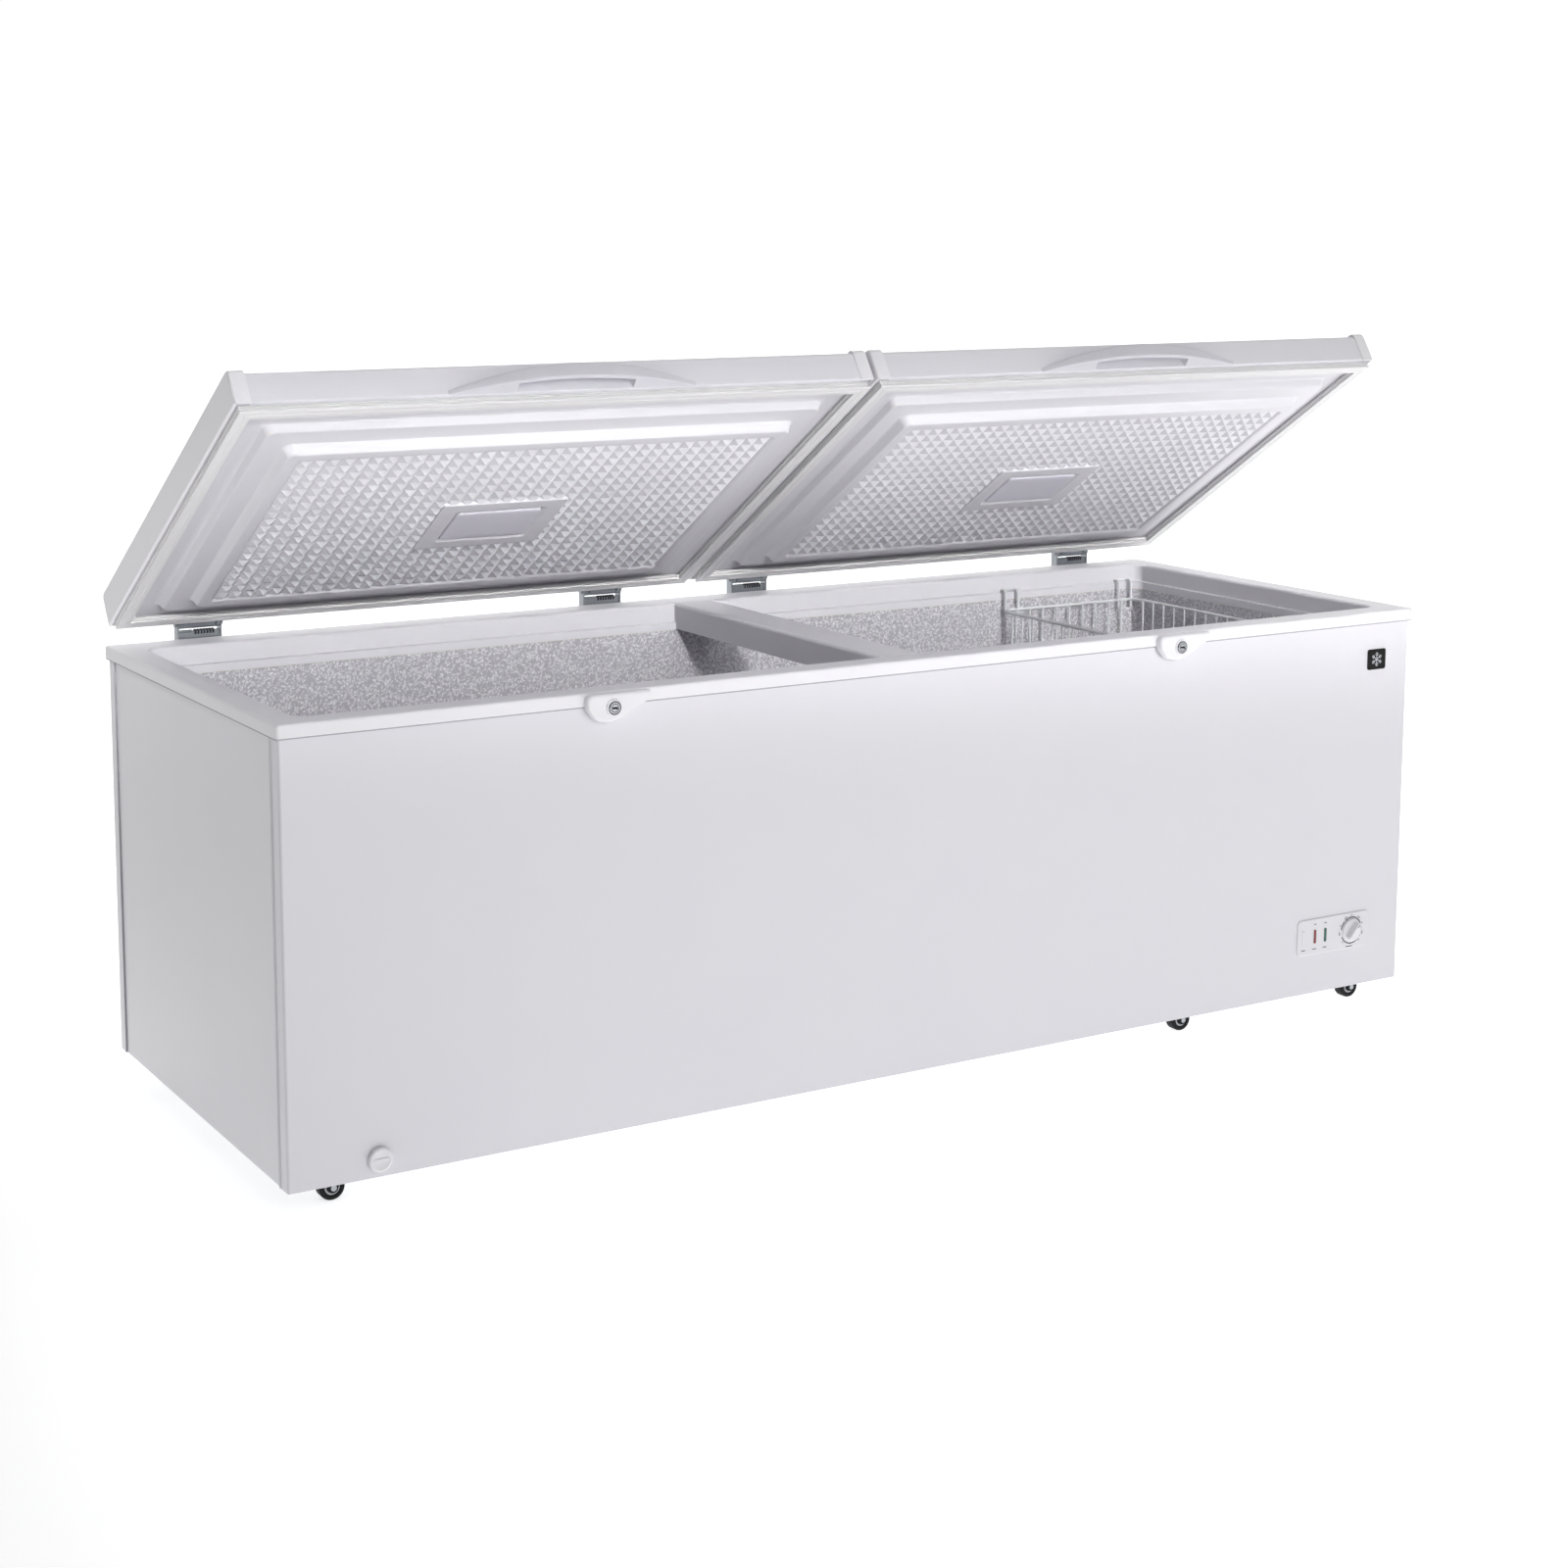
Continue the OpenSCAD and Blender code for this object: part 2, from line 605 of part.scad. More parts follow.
// louvred cover over the compressor bay
module vent_grille() color(plastic) place() difference() {
    union() {
        box([px - sheet, -160, z_base + 36], [px + 1.4, 200, z_base + 224]);
        box([px - 6, -148, z_base + 48], [px - sheet, 188, z_base + 212]);
    }
    for (i = [0 : 8]) box([px - 8, -130, z_base + 58 + i * 17], [px + 3, 170, z_base + 66 + i * 17]);
}

// grommet where the supply lead leaves the back panel
module power_gland() color(dark) place() difference() {
    union() {
        rod_y(px - 60, z_base + 60, py - 8, py + 6, 9);
        rod_y(px - 60, z_base + 60, py + 0.1, py + 3, 14);
    }
    rod_y(px - 60, z_base + 60, py - 9, py + 7, 4);
}

module at_rollers() for (w = wheels) translate([w[0], w[1] * wheel_y, 0]) children();

module roller_frames() color(dark) place() at_rollers() {
    difference() {
        translate([-28, -20, z_base - 2.1]) cube([56, 40, 2]);
        for (x = [-22, 22], y = [-14, 14]) translate([x, y, z_base - 3]) cylinder(r = 2.6, h = 4);
    }
    for (s = [-1, 1]) sweep_y(s * (wheel_w / 2 + 2.2) - 1.2, s * (wheel_w / 2 + 2.2) + 1.2)
        difference() {
            union() {
                translate([0, wheel_r]) circle(8);
                polygon([[-8, wheel_r], [8, wheel_r], [17, z_base - 2.1], [-17, z_base - 2.1]]);
            }
            translate([0, wheel_r]) circle(3);
        }
}

module roller_axles() color(zinc) place() at_rollers() {
    rod_y(0, wheel_r, -wheel_w / 2 - 3.4, wheel_w / 2 + 3.4, 3);
    for (s = [-1, 1]) rod_y(0, wheel_r, s * (wheel_w / 2 + 4.6) - 1.1, s * (wheel_w / 2 + 4.6) + 1.1, 4.5);
}

module wheel(i) color(dark) place() translate([wheels[i][0], wheels[i][1] * wheel_y, wheel_r])
    rotate([90, 0, 0]) rotate_extrude($fn = 96)
        polygon([[3.06, -10], [6.5, -10], [6.5, -8.6], [14, -8.6], [14, -10], [wheel_r - 1.5, -10],
            [wheel_r, -8], [wheel_r, 8], [wheel_r - 1.5, 10], [14, 10], [14, 8.6], [6.5, 8.6],
            [6.5, 10], [3.06, 10]]);

module wheel_1() wheel(0);
module wheel_2() wheel(1);
module wheel_3() wheel(2);
module wheel_4() wheel(3);
module wheel_5() wheel(4);
module wheel_6() wheel(5);

front_panel();
side_panel_left();
side_panel_right();
back_panel();
base_pan();
compressor_tray();
insulation();
liner();
collar();
divider_beam();
control_panel();
indicator_red();
indicator_green();
indicator_blank();
badge();
drain_tube();
lock_housing_left();
lock_housing_right();
hinge_brackets();
hinge_pins();
screws();
compressor();
vent_grille();
power_gland();
roller_frames();
roller_axles();
dial();
drain_cap();
drain_plug();
lock_cylinder_left();
lock_cylinder_right();
basket();
lid_left_shell();
lid_left_end_caps();
lid_left_foam();
lid_left_liner();
lid_left_gasket();
lid_left_handle();
lid_left_lamp_frame();
lid_left_lamp_lens();
lid_left_hinge_leaves();
lid_right_shell();
lid_right_end_caps();
lid_right_foam();
lid_right_liner();
lid_right_gasket();
lid_right_handle();
lid_right_lamp_frame();
lid_right_lamp_lens();
lid_right_hinge_leaves();
wheel_1();
wheel_2();
wheel_3();
wheel_4();
wheel_5();
wheel_6();
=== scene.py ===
"""Looks for the two-lid chest freezer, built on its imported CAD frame.

Every shape is made in millimetres in the row's frame (a lid's shapes in the closed lid's own frame) and
turned to metres when the mesh is made. Classes run from the cabinet outwards; main() builds them in order.
"""

import json
import logging
import math
from dataclasses import dataclass, field
from enum import Enum
from typing import Any, Callable, ClassVar, Iterable, Optional, Sequence

import bmesh
import bpy
from mathutils import Matrix, Vector

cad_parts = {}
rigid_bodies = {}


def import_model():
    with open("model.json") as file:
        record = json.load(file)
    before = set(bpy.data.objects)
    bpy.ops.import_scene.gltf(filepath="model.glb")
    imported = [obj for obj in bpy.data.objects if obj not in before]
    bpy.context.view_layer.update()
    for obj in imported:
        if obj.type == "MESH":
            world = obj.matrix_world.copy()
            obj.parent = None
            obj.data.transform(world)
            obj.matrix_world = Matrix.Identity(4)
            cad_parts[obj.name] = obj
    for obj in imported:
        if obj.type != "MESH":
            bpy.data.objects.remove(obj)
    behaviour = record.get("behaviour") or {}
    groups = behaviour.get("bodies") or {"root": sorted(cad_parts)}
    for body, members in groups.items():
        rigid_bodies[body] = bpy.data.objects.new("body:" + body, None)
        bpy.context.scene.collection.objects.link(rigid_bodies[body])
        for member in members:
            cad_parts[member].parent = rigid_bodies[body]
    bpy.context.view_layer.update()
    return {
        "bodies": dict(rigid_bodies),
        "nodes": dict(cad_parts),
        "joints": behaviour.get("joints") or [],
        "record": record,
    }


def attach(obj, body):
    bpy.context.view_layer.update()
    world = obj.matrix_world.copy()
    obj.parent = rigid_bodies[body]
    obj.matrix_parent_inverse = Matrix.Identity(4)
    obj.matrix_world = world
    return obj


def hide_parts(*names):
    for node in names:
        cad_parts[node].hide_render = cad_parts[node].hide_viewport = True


logging.basicConfig(level=logging.INFO, format="%(message)s")
LOG = logging.getLogger("freezer")

MM = 0.001  # metres in a millimetre
Y_SHIFT = -1.1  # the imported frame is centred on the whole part, this far from the design's own middle
INK_DEPTH = 0.3  # printed marks are thin solids, sunk into what they are printed on
LID_HINGE_Y = 388.0
LID_HINGE_Z = 740.0
LID_REST_DEG = 33.0
Point = tuple[float, float, float]
Loop = list[Point]
Outline = list[tuple[float, float]]


class Side(Enum):
    """Which lid or which end of the cabinet a piece belongs to."""

    LEFT = -1
    RIGHT = 1

    @property
    def word(self) -> str:
        """Name used in nodes and bodies."""
        return self.name.lower()


class Axis(Enum):
    """Direction a lathe or prism runs along."""

    X = "x"
    Y = "y"
    Z = "z"

    def put(self, a: float, b: float, along: float) -> Point:
        """Places two section values and one value along the axis.

        Args:
            a: First section value (y for X, x for Y and Z).
            b: Second section value (z for X and Y, y for Z).
            along: Value along the axis.

        Returns:
            The point as (x, y, z).
        """
        if self is Axis.X:
            return (along, a, b)
        if self is Axis.Y:
            return (a, along, b)
        return (a, b, along)


# ------------------------------------------------------------------ materials


def linear(code: str) -> tuple[float, float, float, float]:
    """Turns an sRGB hex colour into linear RGBA.

    Args:
        code: Colour such as "#E9EAED".

    Returns:
        Linear red, green, blue and an alpha of one.
    """
    parts = [int(code[i : i + 2], 16) / 255 for i in (1, 3, 5)]
    r, g, b = (c / 12.92 if c <= 0.04045 else ((c + 0.055) / 1.055) ** 2.4 for c in parts)
    return (r, g, b, 1.0)


def add_node(
    tree: bpy.types.NodeTree,
    kind: str,
    settings: Optional[dict[str, Any]] = None,
    values: Optional[dict[Any, Any]] = None,
    links: Optional[dict[Any, bpy.types.NodeSocket]] = None,
) -> bpy.types.Node:
    """Adds one node with its settings, socket values and incoming links.

    Args:
        tree: Node tree the node goes into.
        kind: Node type identifier.
        settings: Attributes set on the node.
        values: Default values by input name or index.
        links: Output sockets by the input name or index they feed.

    Returns:
        The new node.
    """
    made = tree.nodes.new(kind)
    for key, value in (settings or {}).items():
        setattr(made, key, value)
    for key, value in (values or {}).items():
        made.inputs[key].default_value = value
    for key, source in (links or {}).items():
        tree.links.new(source, made.inputs[key])
    return made


@dataclass(frozen=True)
class Finish:
    """A plain finish: one base colour, with fine surface grain and a slow change of gloss."""

    name: str
    colour: str
    roughness: float
    metallic: float = 0.0
    ior: float = 1.5
    coat: float = 0.0
    transmission: float = 0.0
    grain_mm: float = 0.8
    grain_depth_mm: float = 0.01
    gloss_drift: float = 0.05
    tint: str = ""

    def object_coordinates(self, tree: bpy.types.NodeTree) -> bpy.types.NodeSocket:
        """Adds object coordinates and returns their socket, in metres."""
        return add_node(tree, "ShaderNodeTexCoord").outputs["Object"]

    def height(self, tree: bpy.types.NodeTree, where: bpy.types.NodeSocket) -> bpy.types.NodeSocket:
        """Adds the relief that the bump is made from.

        Args:
            tree: The material's node tree.
            where: Object coordinates.

        Returns:
            The socket of the relief, from 0 to 1.
        """
        return add_node(
            tree,
            "ShaderNodeTexNoise",
            values={"Scale": 1000 / self.grain_mm, "Detail": 3.0, "Roughness": 0.55},
            links={"Vector": where},
        ).outputs["Fac"]

    def colour_socket(
        self, tree: bpy.types.NodeTree, where: bpy.types.NodeSocket, height: bpy.types.NodeSocket
    ) -> Optional[bpy.types.NodeSocket]:
        """Adds a slow change of the base colour.

        Args:
            tree: The material's node tree.
            where: Object coordinates.
            height: The relief socket; not used here.

        Returns:
            The socket of the colour, or None for an even one.
        """
        if not self.tint:
            return None
        cloud = add_node(
            tree, "ShaderNodeTexNoise", values={"Scale": 9.0, "Detail": 4.0}, links={"Vector": where}
        )
        mix = add_node(
            tree,
            "ShaderNodeMix",
            settings={"data_type": "RGBA"},
            values={"A": linear(self.colour), "B": linear(self.tint)},
            links={"Factor": cloud.outputs["Fac"]},
        )
        return mix.outputs["Result"]

    def build(self) -> bpy.types.Material:
        """Builds the material the first time it is asked for.

        Returns:
            The material.
        """
        ready = bpy.data.materials.get(self.name)
        if ready:
            return ready
        made = bpy.data.materials.new(self.name)
        made.use_nodes = True
        tree = made.node_tree
        shader = tree.nodes["Principled BSDF"]
        plain = {
            "Base Color": linear(self.colour),
            "Roughness": self.roughness,
            "Metallic": self.metallic,
            "IOR": self.ior,
            "Coat Weight": self.coat,
            "Coat Roughness": 0.12,
            "Transmission Weight": self.transmission,
        }
        for key, value in plain.items():
            shader.inputs[key].default_value = value
        where = self.object_coordinates(tree)
        height = self.height(tree, where)
        bump = add_node(
            tree,
            "ShaderNodeBump",
            values={"Strength": 1.0, "Distance": self.grain_depth_mm * MM},
            links={"Height": height},
        )
        tree.links.new(bump.outputs["Normal"], shader.inputs["Normal"])
        drift = add_node(
            tree, "ShaderNodeTexNoise", values={"Scale": 6.0, "Detail": 2.0}, links={"Vector": where}
        )
        gloss = add_node(
            tree,
            "ShaderNodeMapRange",
            values={
                "To Min": max(0.02, self.roughness - self.gloss_drift),
                "To Max": self.roughness + self.gloss_drift,
            },
            links={"Value": drift.outputs["Fac"]},
        )
        tree.links.new(gloss.outputs["Result"], shader.inputs["Roughness"])
        colour = self.colour_socket(tree, where, height)
        if colour is not None:
            tree.links.new(colour, shader.inputs["Base Color"])
        return made


@dataclass(frozen=True)
class StuccoAluminium(Finish):
    """Stucco-embossed aluminium: pebbled relief a few mm across, which sparkles, with painted light and
    shade.
    """

    pebble_mm: float = 6.0
    # the greyer colour of the valleys: painted shade
    shade: str = "#7F8286"

    def height(self, tree: bpy.types.NodeTree, where: bpy.types.NodeSocket) -> bpy.types.NodeSocket:
        """Adds pebbles broken up by finer noise.

        Args:
            tree: The material's node tree.
            where: Object coordinates.

        Returns:
            The socket of the relief.
        """
        wobble = add_node(
            tree, "ShaderNodeTexNoise", values={"Scale": 140.0, "Detail": 2.0}, links={"Vector": where}
        )
        bent = add_node(
            tree,
            "ShaderNodeMix",
            settings={"data_type": "VECTOR"},
            values={"Factor": 0.012},
            links={"A": where, "B": wobble.outputs["Color"]},
        )
        pebbles = add_node(
            tree,
            "ShaderNodeTexVoronoi",
            settings={"feature": "SMOOTH_F1"},
            values={"Scale": 1000 / self.pebble_mm, "Smoothness": 0.35},
            links={"Vector": bent.outputs["Result"]},
        )
        return pebbles.outputs["Distance"]

    def colour_socket(
        self, tree: bpy.types.NodeTree, where: bpy.types.NodeSocket, height: bpy.types.NodeSocket
    ) -> Optional[bpy.types.NodeSocket]:
        """Adds bright crests and greyer valleys: painted highlight and painted shade.

        Args:
            tree: The material's node tree.
            where: Object coordinates; not used here.
            height: The relief socket.

        Returns:
            The socket of the colour.
        """
        # the pebbles' colour runs from the base colour to the shade colour: painted highlight and painted
        # shade
        ramp = add_node(
            tree,
            "ShaderNodeMapRange",
            values={"From Min": 0.18, "From Max": 0.62},
            links={"Value": height},
        )
        mix = add_node(
            tree,
            "ShaderNodeMix",
            settings={"data_type": "RGBA"},
            values={"A": linear(self.colour), "B": linear(self.shade)},
            links={"Factor": ramp.outputs["Result"]},
        )
        return mix.outputs["Result"]


@dataclass(frozen=True)
class RibbedLens(Finish):
    """Moulded lamp lens with fine parallel ribs, spaced along X."""

    # Blender's band waves repeat every 2 pi / 20 units at a scale of one
    BANDS_FACTOR: ClassVar[float] = 20.0

    rib_mm: float = 3.2

    def height(self, tree: bpy.types.NodeTree, where: bpy.types.NodeSocket) -> bpy.types.NodeSocket:
        """Adds straight ribs.

        Args:
            tree: The material's node tree.
            where: Object coordinates.

        Returns:
            The socket of the relief.
        """
        waves = add_node(
            tree,
            "ShaderNodeTexWave",
            settings={"bands_direction": "X"},
            values={"Scale": math.tau / self.BANDS_FACTOR * 1000 / self.rib_mm, "Distortion": 0.0},
            links={"Vector": where},
        )
        return waves.outputs["Fac"]


@dataclass(frozen=True)
class LitFloor(Finish):
    """Opal floor lit from below, less so on the left."""

    glow_left: float = 0.3
    glow_right: float = 0.85
    rise_from: float = -1.9
    rise_to: float = -0.5

    def build(self) -> bpy.types.Material:
        """Builds the material, with its glow rising from left to right.

        Returns:
            The material.
        """
        made = super().build()
        tree = made.node_tree
        shader = tree.nodes["Principled BSDF"]
        if not shader.inputs["Emission Strength"].is_linked:
            shader.inputs["Emission Color"].default_value = linear("#FFFFFF")
            split = add_node(tree, "ShaderNodeSeparateXYZ", links={"Vector": self.object_coordinates(tree)})
            rise = add_node(
                tree,
                "ShaderNodeMapRange",
                settings={"interpolation_type": "SMOOTHSTEP"},
                values={
                    "From Min": self.rise_from,
                    "From Max": self.rise_to,
                    "To Min": self.glow_left,
                    "To Max": self.glow_right,
                },
                links={"Value": split.outputs["X"]},
            )
            tree.links.new(rise.outputs["Result"], shader.inputs["Emission Strength"])
        return made


# pre-painted steel sheet: smooth gloss with a trace of orange peel
PAINTED_STEEL = Finish(
    "Pre-painted steel", "#E1E0E5", 0.34, coat=0.2, grain_mm=2.6, grain_depth_mm=0.012, tint="#DEDDE3"
)
# injection-moulded ABS: a little softer than the paint, fine spark grain
WHITE_ABS = Finish("White ABS moulding", "#EAE9ED", 0.38, grain_mm=0.7, grain_depth_mm=0.012, tint="#E7E6EA")
# the control panel's own ABS: a shade greyer than the white trims, close to the painted wall
PANEL_ABS = Finish("Moulded panel ABS", "#DEDDE2", 0.38, grain_mm=0.7, grain_depth_mm=0.012, tint="#E7E6EA")
# the handles' white ABS, made greyer than the lids: painted shade on the grips
SHADED_GRIP_ABS = Finish("Grip ABS moulding", "#CCCBD2", 0.45, grain_mm=0.7, grain_depth_mm=0.012, tint="#C8C7CE")
# vacuum-formed HIPS sheet: soft sheen, with slow waviness from forming
LINER_HIPS = Finish("Vacuum-formed HIPS", "#DEDDE2", 0.4, grain_mm=14.0, grain_depth_mm=0.03, tint="#DAD9DE")
# flexible PVC magnetic gasket: off-white, soft sheen
GASKET_PVC = Finish("Magnetic gasket PVC", "#E6E5E6", 0.5, grain_mm=0.9, grain_depth_mm=0.02, tint="#E1E0E1")
# stucco-embossed aluminium: sparkling pebbled sheet, its colour carrying painted highlight and painted shade
STUCCO = StuccoAluminium(
    "Stucco-embossed aluminium", "#F8F7FA", 0.42, metallic=0.2, grain_depth_mm=0.45, shade="#C2C0C6",
    pebble_mm=4.4,
)
# zinc-plated steel: pale grey metal with a faint spangle
ZINC = Finish(
    "Zinc-plated steel", "#B4B8BC", 0.33, metallic=1.0, grain_mm=3.5, grain_depth_mm=0.02, tint="#9DA2A7"
)
# oiled spring steel: dark coils
SPRING = Finish("Oiled spring steel", "#4E5054", 0.4, metallic=1.0, grain_mm=1.0, grain_depth_mm=0.01)
# chromed brass key cylinder: sharp reflections
CHROME = Finish(
    "Chromed brass", "#A4A6AB", 0.16, metallic=1.0, grain_mm=1.2, grain_depth_mm=0.002, gloss_drift=0.02
)
# white PE-coated wire: plump glossy coat
COATED_WIRE = Finish("PE-coated wire", "#F0F1F3", 0.28, coat=0.4, grain_mm=2.0, grain_depth_mm=0.02)
# opal polycarbonate lamp lens: pale lilac, finely ribbed
LENS = RibbedLens("Opal polycarbonate lens", "#DCDAE4", 0.22, ior=1.58, grain_depth_mm=0.12)
# dyed acrylic lamp lens: deep glossy red
RED_LENS = Finish("Red indicator lens", "#7C0F1A", 0.25, coat=0.3, grain_mm=1.0, grain_depth_mm=0.003)
# dyed acrylic lamp lens: deep glossy green
GREEN_LENS = Finish("Green indicator lens", "#0E5A4B", 0.25, coat=0.3, grain_mm=1.0, grain_depth_mm=0.003)
# pad-printed ink: matt, nearly black
INK = Finish("Printed dark ink", "#26272B", 0.6, grain_mm=0.4, grain_depth_mm=0.002)
# cast acrylic badge: even gloss black; the same black is painted shade in the keyways and the screws'
# recesses
BLACK_BADGE_AND_SHADE = Finish("Gloss black acrylic", "#060607", 0.2, ior=1.25, grain_mm=1.5, grain_depth_mm=0.002)
# screen-printed silver ink: soft metallic grey
SILVER_INK = Finish("Silver ink", "#C9CCD1", 0.35, metallic=0.6, grain_mm=0.4, grain_depth_mm=0.002)
# moulded black nylon of rollers and glands: dull, without highlights
BLACK_NYLON = Finish(
    "Black nylon", "#0B0C0E", 0.55, ior=1.35, grain_mm=0.8, grain_depth_mm=0.02, tint="#101114"
)
# painted highlight: an even, paler grey ring on the wheels' hubs
PAINTED_HIGHLIGHT_GREY = Finish("Grey nylon hub", "#B9BBBF", 0.4, grain_mm=0.8, grain_depth_mm=0.01)
# painted shadow: matt mid grey strips, which draw thin shadow lines along the seams
PAINTED_SHADOW_GREY = Finish("Acrylic sealant", "#A9A8AE", 0.8, grain_mm=1.0, grain_depth_mm=0.02)
# moulded EPDM drain plug: matt dark grey
RUBBER = Finish("EPDM rubber", "#55585C", 0.7, grain_mm=0.6, grain_depth_mm=0.03, tint="#4C4F53")
# stoved enamel of the compressor shell: glossy black
BLACK_ENAMEL = Finish("Black enamel", "#16171A", 0.3, coat=0.3, grain_mm=3.0, grain_depth_mm=0.02)
# rigid polyurethane foam: matt straw yellow with open cells
FOAM = Finish("Polyurethane foam", "#E6D7A2", 0.9, grain_mm=1.5, grain_depth_mm=0.2, tint="#DCCB92")
# opal acrylic floor, softly lit from below: clean white, hardly any shadow
FLOOR = LitFloor("Opal acrylic floor", "#F4F4F4", 0.8, grain_mm=30.0, grain_depth_mm=0.01)


# ------------------------------------------------------------------ shapes


def rounded_rect(x0: float, y0: float, x1: float, y1: float, r: float, n: int = 5) -> Outline:
    """Makes a rounded rectangle, anticlockwise, with n + 1 points a corner.

    Args:
        x0: Low first value.
        y0: Low second value.
        x1: High first value.
        y1: High second value.
        r: Corner radius.
        n: Segments in a corner.

    Returns:
        The outline's points.
    """
    r = max(0.001, min(r, (x1 - x0) / 2 - 0.001, (y1 - y0) / 2 - 0.001))
    corners = [(x1 - r, y0 + r, -90), (x1 - r, y1 - r, 0), (x0 + r, y1 - r, 90), (x0 + r, y0 + r, 180)]
    out = []
    for cx, cy, start in corners:
        for i in range(n + 1):
            a = math.radians(start + 90 * i / n)
            out.append((cx + r * math.cos(a), cy + r * math.sin(a)))
    return out


def filleted(points: Sequence[Point], radius: float, steps: int = 5, closed: bool = False) -> Loop:
    """Rounds the corners of a path.

    Args:
        points: Corner points.
        radius: Bend radius wanted at each corner.
        steps: Segments in each bend.
        closed: Whether the path joins up with itself.

    Returns:
        The path with its corners replaced by arcs.
    """
    pts = [Vector(p) for p in points]
    count = len(pts)
    out: list[Vector] = []
    for i, p in enumerate(pts):
        if not closed and i in (0, count - 1):
            out.append(p)
            continue
        a, b = pts[i - 1] - p, pts[(i + 1) % count] - p
        angle = a.angle(b)
        if angle > math.pi - 0.01:
            out.append(p)
            continue
        reach = min(radius / math.tan(angle / 2), a.length * 0.49, b.length * 0.49)
        r = reach * math.tan(angle / 2)
        centre = p + (a.normalized() + b.normalized()).normalized() * (r / math.sin(angle / 2))
        u = p + a.normalized() * reach - centre
        v = p + b.normalized() * reach - centre
        for k in range(steps + 1):
            t = k / steps
            out.append(centre + u.slerp(v, t).normalized() * r)
    return [tuple(p) for p in out]


@dataclass
class Shape:
    """A closed mesh under construction, in millimetres."""

    verts: Loop = field(default_factory=list)
    faces: list[tuple[int, ...]] = field(default_factory=list)

    def extend(self, verts: Iterable[Point], faces: Iterable[Sequence[int]]) -> "Shape":
        """Adds points and faces whose numbers start at zero.

        Args:
            verts: New points.
            faces: New faces, counted within the new points.

        Returns:
            This shape.
        """
        base = len(self.verts)
        self.verts.extend(tuple(v) for v in verts)
        self.faces.extend(tuple(i + base for i in f) for f in faces)
        return self

    def join(self, other: "Shape") -> "Shape":
        """Adds another shape to this one.

        Args:
            other: The shape to copy in.

        Returns:
            This shape.
        """
        return self.extend(other.verts, other.faces)

    def loft(self, loops: Sequence[Loop], ring: bool = False) -> "Shape":
        """Skins equal-length closed loops; the ends are capped, or joined to each other in a ring.

        Args:
            loops: Loops in order.
            ring: Joins the last loop to the first, in place of the caps.

        Returns:
            This shape.
        """
        n, m = len(loops[0]), len(loops)
        faces: list[Sequence[int]] = []
        for j in range(m if ring else m - 1):
            a, b = j * n, ((j + 1) % m) * n
            for i in range(n):
                k = (i + 1) % n
                faces.append((a + i, a + k, b + k, b + i))
        if not ring:
            faces.append(tuple(range(n))[::-1])
            faces.append(tuple(range((m - 1) * n, m * n)))
        return self.extend([p for loop in loops for p in loop], faces)

    def prism(self, outline: Sequence[tuple[float, float]], axis: Axis, low: float, high: float) -> "Shape":
        """Sweeps a flat outline straight along an axis.

        Args:
            outline: Section points.
            axis: Direction of the sweep.
            low: Start of the sweep.
            high: End of the sweep.

        Returns:
            This shape.
        """
        return self.loft([[axis.put(a, b, t) for a, b in outline] for t in (low, high)])

    def box(self, low: Point, high: Point) -> "Shape":
        """Adds a box between two corners.

        Args:
            low: Low corner.
            high: High corner.

        Returns:
            This shape.
        """
        (x0, y0, z0), (x1, y1, z1) = low, high
        return self.prism([(x0, y0), (x1, y0), (x1, y1), (x0, y1)], Axis.Z, z0, z1)

    def lathe(
        self, profile: Sequence[tuple[float, float]], centre: Point, axis: Axis, sides: int = 48
    ) -> "Shape":
        """Turns a closed profile of (radius, distance along the axis) points.

        Args:
            profile: Profile points; a radius of zero closes on the axis.
            centre: Point the distances count from.
            axis: Axis of revolution.
            sides: Facets round the circle.

        Returns:
            This shape.
        """
        cx, cy, cz = centre
        loops = []
        for r, t in profile:
            loop = []
            for i in range(sides):
                a = 2 * math.pi * i / sides
                p = axis.put(max(r, 0.004) * math.cos(a), max(r, 0.004) * math.sin(a), t)
                loop.append((p[0] + cx, p[1] + cy, p[2] + cz))
            loops.append(loop)
        return self.loft(loops, ring=profile[0][0] > 0.01 and profile[-1][0] > 0.01)

    def tube(self, path: Sequence[Point], radius: float, sides: int = 10, closed: bool = False) -> "Shape":
        """Sweeps a round section along a path.

        Args:
            path: Centre line.
            radius: Section radius.
            sides: Facets round the section.
            closed: Whether the path joins up with itself.

        Returns:
            This shape.
        """
        pts = [Vector(p) for p in path]
        count = len(pts)
        loops = []
        normal: Optional[Vector] = None
        for i, p in enumerate(pts):
            before = pts[i - 1] if closed or i else p
            after = pts[(i + 1) % count] if closed or i < count - 1 else p
            along = (after - before).normalized()
            if normal is None:
                normal = along.cross(Vector((0.3, 0.5, 0.81))).normalized()
            normal = (normal - along * normal.dot(along)).normalized()
            other = along.cross(normal)
            loop = []
            for k in range(sides):
                a = 2 * math.pi * k / sides
                loop.append(tuple(p + radius * (normal * math.cos(a) + other * math.sin(a))))
            loops.append(loop)
        return self.loft(loops, ring=closed)

    def moved(self, matrix: Matrix) -> "Shape":
        """Moves every point by a matrix.

        Args:
            matrix: The move, in millimetres.

        Returns:
            This shape.
        """
        self.verts = [tuple(matrix @ Vector(v)) for v in self.verts]
        return self

